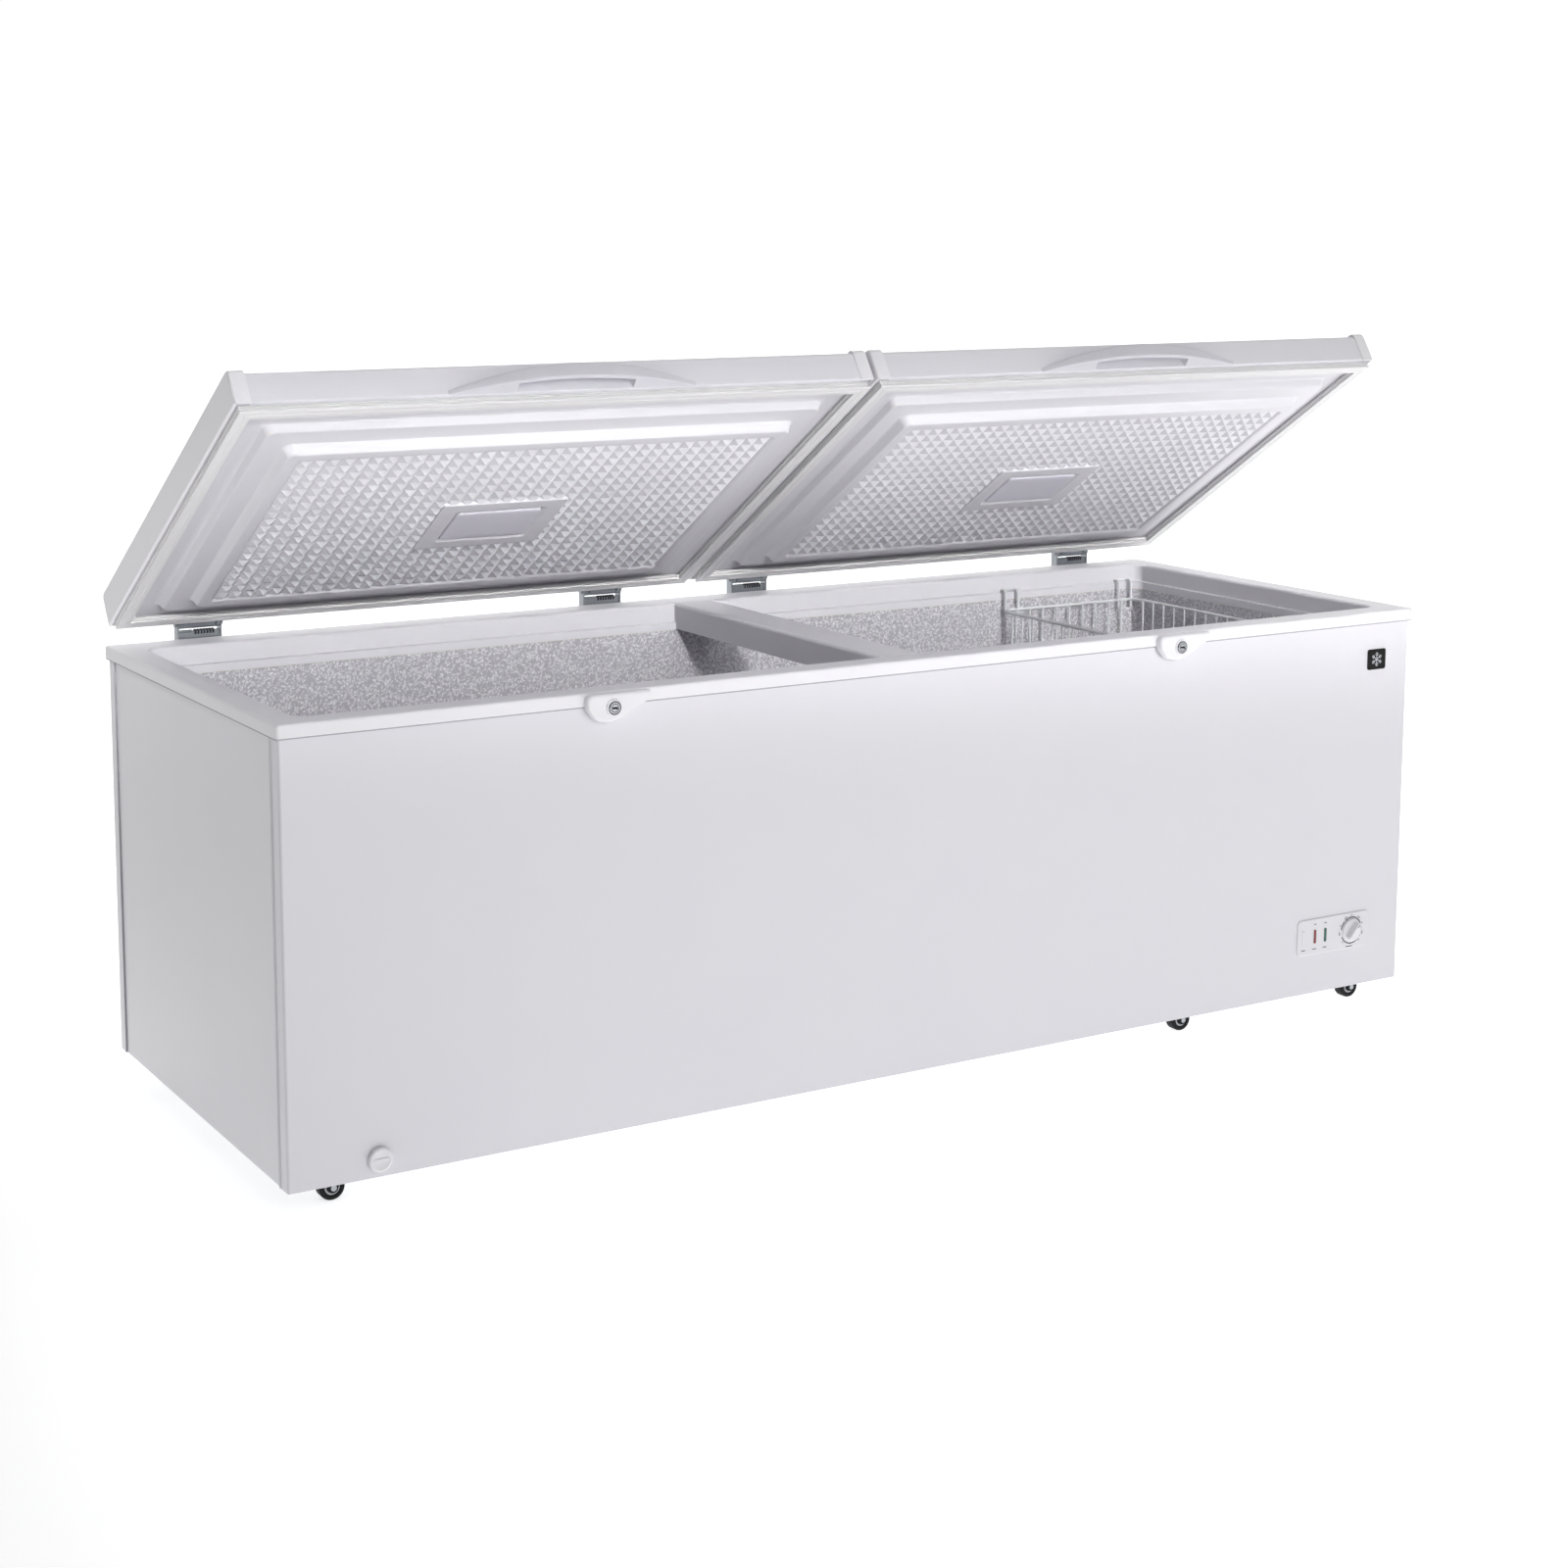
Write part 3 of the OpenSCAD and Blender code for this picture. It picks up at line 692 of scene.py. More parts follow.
    def bevelled(self, width: float, steps: int = 3, sharper_than: float = 30.0) -> "Shape":
        """Rounds the sharp edges.

        Args:
            width: Width of the rounding.
            steps: Segments across it.
            sharper_than: Edges bent more than this many degrees are rounded.

        Returns:
            This shape.
        """
        mesh = bmesh.new()
        verts = [mesh.verts.new(v) for v in self.verts]
        for f in self.faces:
            mesh.faces.new([verts[i] for i in f])
        bmesh.ops.recalc_face_normals(mesh, faces=mesh.faces)
        limit = math.radians(sharper_than)
        edges = [e for e in mesh.edges if e.is_manifold and e.calc_face_angle() > limit]
        bmesh.ops.bevel(
            mesh, geom=edges, offset=width, segments=steps, profile=0.5, affect="EDGES", clamp_overlap=True
        )
        mesh.verts.index_update()
        self.verts = [tuple(v.co) for v in mesh.verts]
        self.faces = [tuple(v.index for v in f.verts) for f in mesh.faces]
        mesh.free()
        return self


def lid_matrix() -> Matrix:
    """Returns the move from the closed lid's frame to the resting pose, in millimetres."""
    opened = Matrix.Rotation(-math.radians(LID_REST_DEG), 4, "X")
    return Matrix.Translation((0, LID_HINGE_Y, LID_HINGE_Z)) @ opened


@dataclass
class Builder:
    """Turns shapes into objects that ride on the frame, and dresses CAD nodes."""

    frame: dict[str, Any]

    def make(
        self,
        name: str,
        shape: Shape,
        finish: Finish,
        body: str,
        nodes: Sequence[str] = (),
        smooth_deg: float = 38.0,
    ) -> bpy.types.Object:
        """Makes one object from a shape.

        Args:
            name: Object name.
            shape: Its mesh, in millimetres.
            finish: Its finish.
            body: CAD body it rides on.
            nodes: CAD nodes it is shown in place of.
            smooth_deg: Edges bent less than this are shaded smooth.

        Returns:
            The object.
        """
        mesh = bpy.data.meshes.new(name)
        verts = [(x * MM, (y + Y_SHIFT) * MM, z * MM) for x, y, z in shape.verts]
        mesh.from_pydata(verts, [], shape.faces)
        work = bmesh.new()
        work.from_mesh(mesh)
        bmesh.ops.remove_doubles(work, verts=work.verts, dist=0.00001)
        bmesh.ops.recalc_face_normals(work, faces=work.faces)
        work.to_mesh(mesh)
        work.free()
        mesh.shade_smooth()
        mesh.set_sharp_from_angle(angle=math.radians(smooth_deg))
        mesh.materials.append(finish.build())
        made = bpy.data.objects.new(name, mesh)
        bpy.context.scene.collection.objects.link(made)
        weighted = made.modifiers.new("even shading", "WEIGHTED_NORMAL")
        weighted.keep_sharp = True
        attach(made, body)
        if nodes:
            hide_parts(*nodes)
        LOG.info("made %s: %d faces on %s", name, len(mesh.polygons), body)
        return made

    def dress(self, node: str, finish: Finish) -> None:
        """Gives a CAD node its finish.

        Args:
            node: Node name.
            finish: The finish.
        """
        target = self.frame["nodes"][node]
        target.data.materials.clear()
        target.data.materials.append(finish.build())
        LOG.info("dressed %s with %s", node, finish.name)


# ------------------------------------------------------------------ cabinet


@dataclass
class Cabinet:
    """Folded sheet panels with painted shadow lines in their seams, base, vent, lead grommet and compressor.
    """

    half_width: float = 1050.0
    half_depth: float = 375.0
    low: float = 48.0
    high: float = 709.0
    wrap: float = 28.0
    sheet: float = 1.0
    corner: float = 4.0
    corner_steps: int = 5
    # the painted shadow line under the collar's lip runs between these heights
    seam_low: float = 693.9
    seam_high: float = 695.9
    vent: tuple[float, float, float, float] = (-160.0, 84.0, 200.0, 272.0)
    blade_pitch: float = 17.0
    lead: tuple[float, float] = (990.0, 108.0)
    motor: Point = (860.0, 20.0, 50.0)

    def wrapped_sheet(self, sign: int) -> Shape:
        """Builds a wall whose ends fold round the corners and finish in a rolled bead.

        Args:
            sign: -1 for the front wall, 1 for the back one.

        Returns:
            The shape, in millimetres.
        """
        w, d, r, t = self.half_width, self.half_depth, self.corner, self.sheet
        outer = [(-w, -d + self.wrap)]
        inner = [(-w + t, -d + self.wrap)]
        for i in range(self.corner_steps + 1):
            a = math.radians(180 + 90 * i / self.corner_steps)
            outer.append((-w + r + r * math.cos(a), -d + r + r * math.sin(a)))
            inner.append((-w + r + (r - t) * math.cos(a), -d + r + (r - t) * math.sin(a)))
        outline = outer + [(-x, y) for x, y in outer[::-1]] + [(-x, y) for x, y in inner] + inner[::-1]
        shape = Shape().prism([(x, -sign * y) for x, y in outline], Axis.Z, self.low, self.high)
        shape.bevelled(0.3, 1, 60)
        for end in (-1, 1):
            path = [(end * (w - 0.2), -sign * (-d + self.wrap), z) for z in (self.low + 0.5, self.high)]
            shape.join(Shape().tube(path, 1.8, 8))
        hem = Shape().box((-w + 1.5, -d + 1.2, self.low), (w - 1.5, -d + 22, self.low + 1.2))
        if sign > 0:
            hem.moved(Matrix.Scale(-1, 4, (0, 1, 0)))
        return shape.join(hem.bevelled(0.4, 2))

    def sealant(self) -> Shape:
        """Builds grey strips beside the corner folds and under the collar's lip: painted shadow lines in the
        seams.

        Returns:
            The shape, in millimetres.
        """
        shape, w, d = Shape(), self.half_width, self.half_depth
        for end in (-1, 1):
            for sign in (-1, 1):
                x = sorted((end * (w - 1), end * (w + 0.9)))
                y = sorted((sign * (d - self.wrap - 1.2), sign * (d - self.wrap - 3.6)))
                shape.box((x[0], y[0], self.low + 2), (x[1], y[1], self.high - 13))
        for sign in (-1, 1):
            y = sorted((sign * (d - 0.5), sign * (d + 3.6)))
            shape.box((-w - 3.6, y[0], self.seam_low), (w + 3.6, y[1], self.seam_high))
        for end in (-1, 1):
            x = sorted((end * (w - 0.5), end * (w + 3.6)))
            shape.box((x[0], -d, self.seam_low), (x[1], d, self.seam_high))
        return shape

    def grille(self) -> Shape:
        """Builds the louvred cover of the compressor bay.

        Returns:
            The shape, in millimetres.
        """
        x, (y0, z0, y1, z1) = self.half_width, self.vent
        loops = []
        for depth, g, r in ((-0.9, 0, 8), (1.4, 1.5, 8), (1.4, 16, 8), (-5, 16, 8), (-5, 14, 6)):
            ring = rounded_rect(y0 + g, z0 + g, y1 - g, z1 - g, r)
            loops.append([(x + depth, a, b) for a, b in ring])
        shape = Shape().loft(loops, ring=True)
        for i in range(int((z1 - z0) // self.blade_pitch) - 2):
            z = z0 + 18 + i * self.blade_pitch
            blade = [(x - 5, z), (x + 0.9, z + 9.5), (x + 0.9, z + 12.5), (x - 5, z + 3)]
            shape.join(Shape().prism(blade, Axis.Y, y0 + 16, y1 - 16).bevelled(0.5, 2))
        for i in (-1, 0, 1):
            y = (y0 + y1) / 2 + 80 * i
            shape.join(Shape().box((x - 5, y - 2, z0 + 15), (x - 1.5, y + 2, z1 - 15)))
        return shape

    def grommet(self) -> Shape:
        """Builds the grommet where the supply lead would leave.

        Returns:
            The shape, in millimetres.
        """
        profile = [
            (4, -7), (8.4, -7), (9, -6), (9, 0.2), (13.5, 0.2), (14, 0.8), (14, 2.6), (12.5, 4),
            (9.5, 4.8), (8.5, 6), (4, 6),
        ]
        x, z = self.lead
        return Shape().lathe(profile, (x, self.half_depth, z), Axis.Y, 40)

    def compressor(self) -> Shape:
        """Builds the compressor: welded two-piece shell, feet, cover box and stubs.

        Returns:
            The shape, in millimetres.
        """
        x, y, z = self.motor
        profile = [
            (0, 14), (50, 14), (68, 20), (74, 34), (74, 60), (77, 60.5), (77, 64.5), (74, 65), (73.5, 84),
            (66, 108), (48, 122), (20, 128), (0, 128),
        ]
        shape = Shape().lathe(profile, self.motor, Axis.Z, 56)
        shape.join(Shape().box((x - 100, y - 60, z + 8), (x + 100, y + 60, z + 12)).bevelled(1.5, 2))
        foot = [(4, 0.2), (11, 0.2), (11, 3), (8, 4.5), (10, 6), (10, 8), (4, 8)]
        for dx in (-88, 88):
            for dy in (-48, 48):
                shape.join(Shape().lathe(foot, (x + dx, y + dy, z), Axis.Z, 24))
        shape.join(Shape().box((x - 108, y - 30, z + 42), (x - 70, y + 30, z + 94)).bevelled(3, 3))
        for stub in (y - 28, y + 30):
            path = [(x + 40, stub, z + 80), (x + 65, stub, z + 100), (x + 65, stub, z + 122)]
            shape.join(Shape().tube(filleted(path, 8), 4, 12))
        return shape

    def build(self, kit: Builder) -> None:
        """Makes the cabinet's pieces.

        Args:
            kit: Where objects are made.
        """
        kit.make(
            "front_wall", self.wrapped_sheet(-1), PAINTED_STEEL, "cabinet", ["front_panel"]
        )
        kit.make(
            "back_wall", self.wrapped_sheet(1), PAINTED_STEEL, "cabinet", ["back_panel"]
        )
        # the grey strips along the seams are painted shadow lines
        kit.make("seam_sealant", self.sealant(), PAINTED_SHADOW_GREY, "cabinet")
        for side in Side:
            kit.dress(f"side_panel_{side.word}", PAINTED_STEEL)
        kit.dress("base_pan", ZINC)
        kit.dress("compressor_tray", ZINC)
        kit.dress("insulation", FOAM)
        kit.dress("drain_tube", WHITE_ABS)
        kit.make("vent_cover", self.grille(), WHITE_ABS, "cabinet", ["vent_grille"])
        kit.make("lead_grommet", self.grommet(), BLACK_NYLON, "cabinet", ["power_gland"])
        kit.make("compressor_unit", self.compressor(), BLACK_ENAMEL, "cabinet", ["compressor"])


@dataclass
class Rim:
    """White collar round the opening, the liner below it and the divider across it."""

    outer: tuple[float, float, float, float] = (-1055.0, -380.0, 1055.0, 380.0)
    opening: tuple[float, float, float, float] = (-1007.0, -333.0, 1007.0, 318.0)
    top: float = 716.0
    ledge: float = 6.0
    floor: float = 108.0
    step_left: float = 607.0
    step_top: float = 348.0
    step_edge: float = 2.5
    tub_bend: float = 14.0
    tub_sheet: float = 0.8
    beam_half: float = 40.0
    beam_edge: float = 6.0

    def loop(self, base: tuple[float, float, float, float], grow: float, r: float, z: float) -> Loop:
        """Makes a rounded rectangle at one height.

        Args:
            base: Rectangle as (x0, y0, x1, y1).
            grow: Distance it is grown by.
            r: Corner radius.
            z: Height.

        Returns:
            The loop's points.
        """
        x0, y0, x1, y1 = base
        return [(x, y, z) for x, y in rounded_rect(x0 - grow, y0 - grow, x1 + grow, y1 + grow, r, 8)]

    def collar(self) -> Shape:
        """Builds the collar: outer lip, flat top, inner face, basket ledge and skirt.

        Returns:
            The shape, in millimetres.
        """
        t, o, i, s = self.top, self.outer, self.opening, -self.ledge
        section = [
            (o, -0.6, 5, t - 20), (o, 0, 6, t - 19.4), (o, 0, 6, t - 3.2), (o, -0.3, 6, t - 2),
            (o, -1.1, 5, t - 0.8), (o, -2.2, 5, t - 0.2), (o, -3.4, 5, t), (i, 5.5, 26, t),
            (i, 3.4, 25, t - 0.4), (i, 1.6, 24, t - 1.4), (i, 0.5, 23, t - 3), (i, 0, 22, t - 5),
            (i, 0, 22, t - 31.5), (i, -0.5, 22, t - 32.6), (i, -1.5, 22, t - 33),
            (i, s + 1.4, 24, t - 33), (i, s + 0.4, 25, t - 33.4), (i, s, 26, t - 34.4),
            (i, s, 26, t - 46.4), (i, s + 0.6, 26, t - 47), (i, 6, 26, t - 47), (i, 6, 26, t - 6),
            (o, -4, 4, t - 6), (o, -4, 4, t - 20),
        ]
        return Shape().loft([self.loop(*row) for row in section], ring=True)

    def liner(self) -> Shape:
        """Builds the aluminium tub with its raised step at the right.

        Returns:
            The shape, in millimetres.
        """
        i, edge, f, bend, t = self.opening, -self.ledge, self.floor, self.tub_bend, self.tub_sheet
        rim_z = self.top - 47.3
        inner = [self.loop(i, edge, 28, rim_z)]
        for deg in range(0, 91, 15):
            a = math.radians(deg)
            inner.append(self.loop(i, edge - bend * (1 - math.cos(a)), 28, f + bend - bend * math.sin(a)))
        outer = [
            self.loop(i, edge + t, 28.8, rim_z), self.loop(i, edge + t, 28.8, f + bend),
            self.loop(i, edge + t - bend, 28, f - t),
        ]
        shape = Shape().loft(inner[::-1] + outer)
        x, r, top = self.step_left, self.step_edge, self.step_top
        x1, y0, y1 = i[2] + edge + 0.4, i[1] - edge - 0.4, i[3] + edge + 0.4
        profile = [(x, f - 0.2), (x, top - r)]
        for deg in range(15, 91, 15):
            a = math.radians(deg)
            profile.append((x + r - r * math.cos(a), top - r + r * math.sin(a)))
        profile += [(x1, top), (x1, f - 0.2)]
        return shape.join(Shape().prism(profile, Axis.Y, y0, y1))

    def divider(self) -> Shape:
        """Builds the beam between the two openings, its top edges rounded, with a low pad along it.

        Returns:
            The shape, in millimetres.
        """
        y0, y1, t, h, r = self.opening[1], self.opening[3], self.top, self.beam_half, self.beam_edge
        section = [(-h, t - 45), (-h, t - r)]
        for deg in range(15, 91, 15):
            a = math.radians(deg)
            section.append((-(h - r) - r * math.cos(a), t - r + r * math.sin(a)))
        section += [(-x, z) for x, z in section[::-1]]
        beam = Shape().prism(section, Axis.Y, y0 + 0.1, y1 - 0.1)
        pad = [(-26, t - 1), (-26, t), (-25.5, t + 0.15), (25.5, t + 0.15), (26, t), (26, t - 1)]
        return beam.join(Shape().prism(pad, Axis.Y, y0 + 14, y1 - 14))

    def build(self, kit: Builder) -> None:
        """Makes the rim's pieces.

        Args:
            kit: Where objects are made.
        """
        kit.make("rim_collar", self.collar(), WHITE_ABS, "cabinet", ["collar"])
        kit.make("stucco_liner", self.liner(), STUCCO, "cabinet", ["liner"])
        kit.make("centre_divider", self.divider(), WHITE_ABS, "cabinet", ["divider_beam"])


# ------------------------------------------------------------------ fittings


def plate(
    centre: tuple[float, float],
    size: tuple[float, float],
    r: float,
    back: float,
    front: float,
    edge: float,
    n: int = 6,
) -> Shape:
    """Builds a plate on the front wall with rounded corners and a rounded front edge.

    Args:
        centre: Centre (x, z).
        size: Width and height.
        r: Corner radius.
        back: y of its back.
        front: y of its front, the lower value.
        edge: Radius of the front edge.
        n: Segments in a corner.

    Returns:
        The shape, in millimetres.
    """
    cx, cz = centre
    stops = [(0.0, back)]
    for deg in range(0, 91, 18):
        a = math.radians(deg)
        stops.append((edge * (1 - math.cos(a)), front + edge * (1 - math.sin(a))))
    loops = []
    for inset, y in stops:
        w, h = size[0] / 2 - inset, size[1] / 2 - inset
        ring = rounded_rect(cx - w, cz - h, cx + w, cz + h, max(0.3, r - inset), n)
        loops.append([(x, y, z) for x, z in ring])
    return Shape().loft(loops)


def arc_stroke(
    centre: tuple[float, float], radius: float, start: float, end: float, width: float, y: float
) -> Shape:
    """Builds a printed arc on the front wall.

    Args:
        centre: Centre (x, z).
        radius: Middle radius.
        start: Start angle, degrees from +X towards +Z.
        end: End angle.
        width: Stroke width.
        y: Front of the ink.

    Returns:
        The shape, in millimetres.
    """
    steps = max(6, int(abs(end - start) / 6))
    angles = [math.radians(start + (end - start) * i / steps) for i in range(steps + 1)]
    (cx, cz), high, low = centre, radius + width / 2, radius - width / 2
    rim = [(cx + high * math.cos(a), cz + high * math.sin(a)) for a in angles]
    hub = [(cx + low * math.cos(a), cz + low * math.sin(a)) for a in angles]
    return Shape().prism(rim + hub[::-1], Axis.Y, y, y + INK_DEPTH)


@dataclass
class Controls:
    """Front control panel, its lamps and dial, the badge, the drain cap and plug."""

    face: float = -375.0
    x: float = 895.0
    z: float = 150.0
    width: float = 166.0
    height: float = 64.0
    dial_x: float = 937.0
    dial_r: float = 21.0
    dial_turn_deg: float = 40.0
    scale_r: float = 23.6
    tick_r: float = 27.6
    lamps: tuple[float, float, float] = (-69.0, -43.0, -19.0)
    badge_x: float = 976.0
    badge_z: float = 631.0
    drain_x: float = -912.0
    drain_z: float = 75.0
    plug: tuple[float, float] = (-262.0, 108.0)

    @property
    def dial_place(self) -> Matrix:
        """Place and turn of the dial's finger bar."""
        turn = Matrix.Rotation(math.radians(self.dial_turn_deg), 4, "Y")
        return Matrix.Translation((self.dial_x, 0, self.z)) @ turn

    def panel(self) -> Shape:
        """Builds the panel: rounded plate, raised lamp surrounds and the box behind it.

        Returns:
            The shape, in millimetres.
        """
        shape = plate((self.x, self.z), (self.width, self.height), 9, self.face, self.face - 2, 1.4)
        shape.join(plate((self.x, self.z), (134, 42), 4, self.face + 11.5, self.face + 0.5, 0.6))
        for dx in self.lamps:
            outer = rounded_rect(self.x + dx - 4.6, self.z - 14, self.x + dx + 4.6, self.z + 14, 3.4, 5)
            inner = rounded_rect(self.x + dx - 3.1, self.z - 12.6, self.x + dx + 3.1, self.z + 12.6, 2.2, 5)
            rows = [(outer, -1.9), (outer, -2.4), (inner, -2.4), (inner, -1.9)]
            loops = [[(a, self.face + y, b) for a, b in ring] for ring, y in rows]
            shape.join(Shape().loft(loops, ring=True))
        return shape

    def lamp(self, dx: float) -> Shape:
        """Builds one tall lamp lens with a rounded face.

        Args:
            dx: Offset from the panel's middle.

        Returns:
            The shape, in millimetres.
        """
        return plate((self.x + dx, self.z), (6.1, 25), 2.1, self.face + 7.8, self.face - 2.9, 1.6)

    def dial(self) -> Shape:
        """Builds the dial: skirt with a rounded rim and a tapered finger bar.

        Returns:
            The shape, in millimetres.
        """
        r, f = self.dial_r, self.face
        profile = [
            (0, f + 5.8), (5.8, f + 5.8), (5.8, f - 1.2), (r - 0.6, f - 1.2), (r, f - 1.8), (r, f - 4.4),
            (r - 0.5, f - 5.4), (r - 1.8, f - 6), (r - 4, f - 6.1), (r - 5, f - 5.6), (0, f - 5.6),
        ]
        shape = Shape().lathe(profile, (self.dial_x, 0, self.z), Axis.Y, 72)
        loops = []
        rows = [(5.4, 18.4, 5.2), (5.0, 18.2, 7), (4.4, 17.6, 12.6), (3.9, 17.0, 14.2), (2.8, 15.8, 15)]
        for half, tall, out in rows:
            loops.append([(a, f - out, b) for a, b in rounded_rect(-half, -tall, half, tall, half * 0.9, 6)])
        return shape.join(Shape().loft(loops).moved(self.dial_place))

    def dial_mark(self) -> Shape:
        """Builds the printed pointer on the finger bar.

        Returns:
            The shape, in millimetres.
        """
        outline = rounded_rect(-0.7, 8, 0.7, 15, 0.5, 2)
        mark = Shape().prism(outline, Axis.Y, self.face - 15.15, self.face - 14.6)
        return mark.moved(self.dial_place)

    def marks(self) -> Shape:
        """Builds the printed scale round the dial and the short dashes beside the lamps.

        Returns:
            The shape, in millimetres.
        """
        y, at = self.face - 2.12, (self.dial_x, self.z)
        shape = Shape()
        for start, end in ((205, 318), (-36, 128), (134, 172)):
            shape.join(arc_stroke(at, self.scale_r, start, end, 1.9, y))
        for i in range(9):
            start = 228 - i * 34.0
            shape.join(arc_stroke(at, self.tick_r, start, start - (13 if i % 2 else 6), 1.4, y))
        dashes = [(-74, -22, 9), (-48, -22, 9), (-24, -22, 9), (-46, 22, 6), (-22, 22, 6), (30, -28.6, 16)]
        for dx, dz, w in dashes:
            x, z = self.x + dx, self.z + dz
            dash = rounded_rect(x, z - 0.7, x + w, z + 0.7, 0.6, 3)
            shape.join(Shape().prism(dash, Axis.Y, y, y + INK_DEPTH))
        return shape

    def badge(self) -> Shape:
        """Returns the black badge plate."""
        return plate((self.badge_x, self.badge_z), (42, 36), 4, self.face, self.face - 1.2, 0.5)

    def snowflake(self) -> Shape:
        """Builds a plain six-armed snowflake, printed on the badge.

        Returns:
            The shape, in millimetres.
        """
        shape, low, high = Shape(), self.face - 1.35, self.face - 1.1
        for k in range(6):
            turn = Matrix.Rotation(math.radians(60 * k), 4, "Y")
            place = Matrix.Translation((self.badge_x, 0, self.badge_z)) @ turn
            arm = Shape().prism([(-0.7, 0.4), (0.7, 0.4), (0.7, 12), (-0.7, 12)], Axis.Y, low, high)
            for side in (-1, 1):
                for base, reach in ((5.0, 3.4), (8.6, 2.4)):
                    x, tip = side * reach, base + reach
                    twig = [(0, base), (x, tip), (x, tip + 1.2), (0, base + 1.2)]
                    arm.join(Shape().prism(twig, Axis.Y, low, high))
            shape.join(arm.moved(place))
        return shape

    def drain_cap(self) -> Shape:
        """Builds the screw cap: ribbed edge, dished face and its stem.

        Returns:
            The shape, in millimetres.
        """
        f = self.face
        x, z = self.drain_x, self.drain_z
        profile = [
            (0, f + 13.8), (6.6, f + 13.8), (6.6, f - 0.3), (17.2, f - 0.3), (18, f - 1), (18, f - 5.6),
            (17.2, f - 7.2), (15.4, f - 8), (13.6, f - 8), (12.4, f - 7.2), (0, f - 6.6),
        ]
        shape = Shape().lathe(profile, (x, 0, z), Axis.Y, 60)
        for k in range(24):
            a = math.radians(15 * k)
            cx, cz = x + 17.7 * math.cos(a), z + 17.7 * math.sin(a)
            turns = [math.tau * i / 8 for i in range(8)]
            rib = [(cx + 0.75 * math.cos(t), cz + 0.75 * math.sin(t)) for t in turns]
            shape.join(Shape().prism(rib, Axis.Y, f - 5.8, f - 0.5))
        bar = rounded_rect(x - 11, z - 2, x + 11, z + 2, 1.8, 4)
        return shape.join(Shape().prism(bar, Axis.Y, f - 8, f - 6))

    def drain_plug(self) -> Shape:
        """Builds the rubber plug with its pull tab.

        Returns:
            The shape, in millimetres.
        """
        x, (y, z) = self.drain_x, self.plug
        profile = [
            (0, -9), (6, -9), (6.8, -8), (6.2, -5), (6.8, -3), (6.2, 0), (6.8, 0.1), (15.6, 0.1),
            (17, 0.9), (17, 2.6), (15, 4), (6, 4.6), (0, 4.6),
        ]
        shape = Shape().lathe(profile, (x, y, z), Axis.Z, 44)
        tab = rounded_rect(y - 9, z + 3, y + 9, z + 12.8, 3.5, 5)
        return shape.join(Shape().prism(tab, Axis.X, x - 2, x + 2).bevelled(0.6, 2))

    def build(self, kit: Builder) -> None:
        """Makes the fittings.

        Args:
            kit: Where objects are made.
        """
        kit.make("controls_panel", self.panel(), PANEL_ABS, "cabinet", ["control_panel"])
        kit.make(
            "lamp_blank", self.lamp(self.lamps[0]), WHITE_ABS, "cabinet", ["indicator_blank"]
        )
        kit.make("lamp_red", self.lamp(self.lamps[1]), RED_LENS, "cabinet", ["indicator_red"])
        kit.make(
            "lamp_green", self.lamp(self.lamps[2]), GREEN_LENS, "cabinet", ["indicator_green"]
        )
        kit.make("panel_marks", self.marks(), INK, "cabinet")
        kit.make("dial_knob", self.dial(), WHITE_ABS, "dial", ["dial"])
        kit.make("dial_pointer", self.dial_mark(), INK, "dial")
        kit.make("badge_plate", self.badge(), BLACK_BADGE_AND_SHADE, "cabinet", ["badge"])
        kit.make("badge_print", self.snowflake(), SILVER_INK, "cabinet")
        kit.make("drain_cap_moulding", self.drain_cap(), WHITE_ABS, "drain_cap", ["drain_cap"])
        kit.make(
            "drain_plug_moulding", self.drain_plug(), RUBBER, "drain_plug", ["drain_plug"]
        )


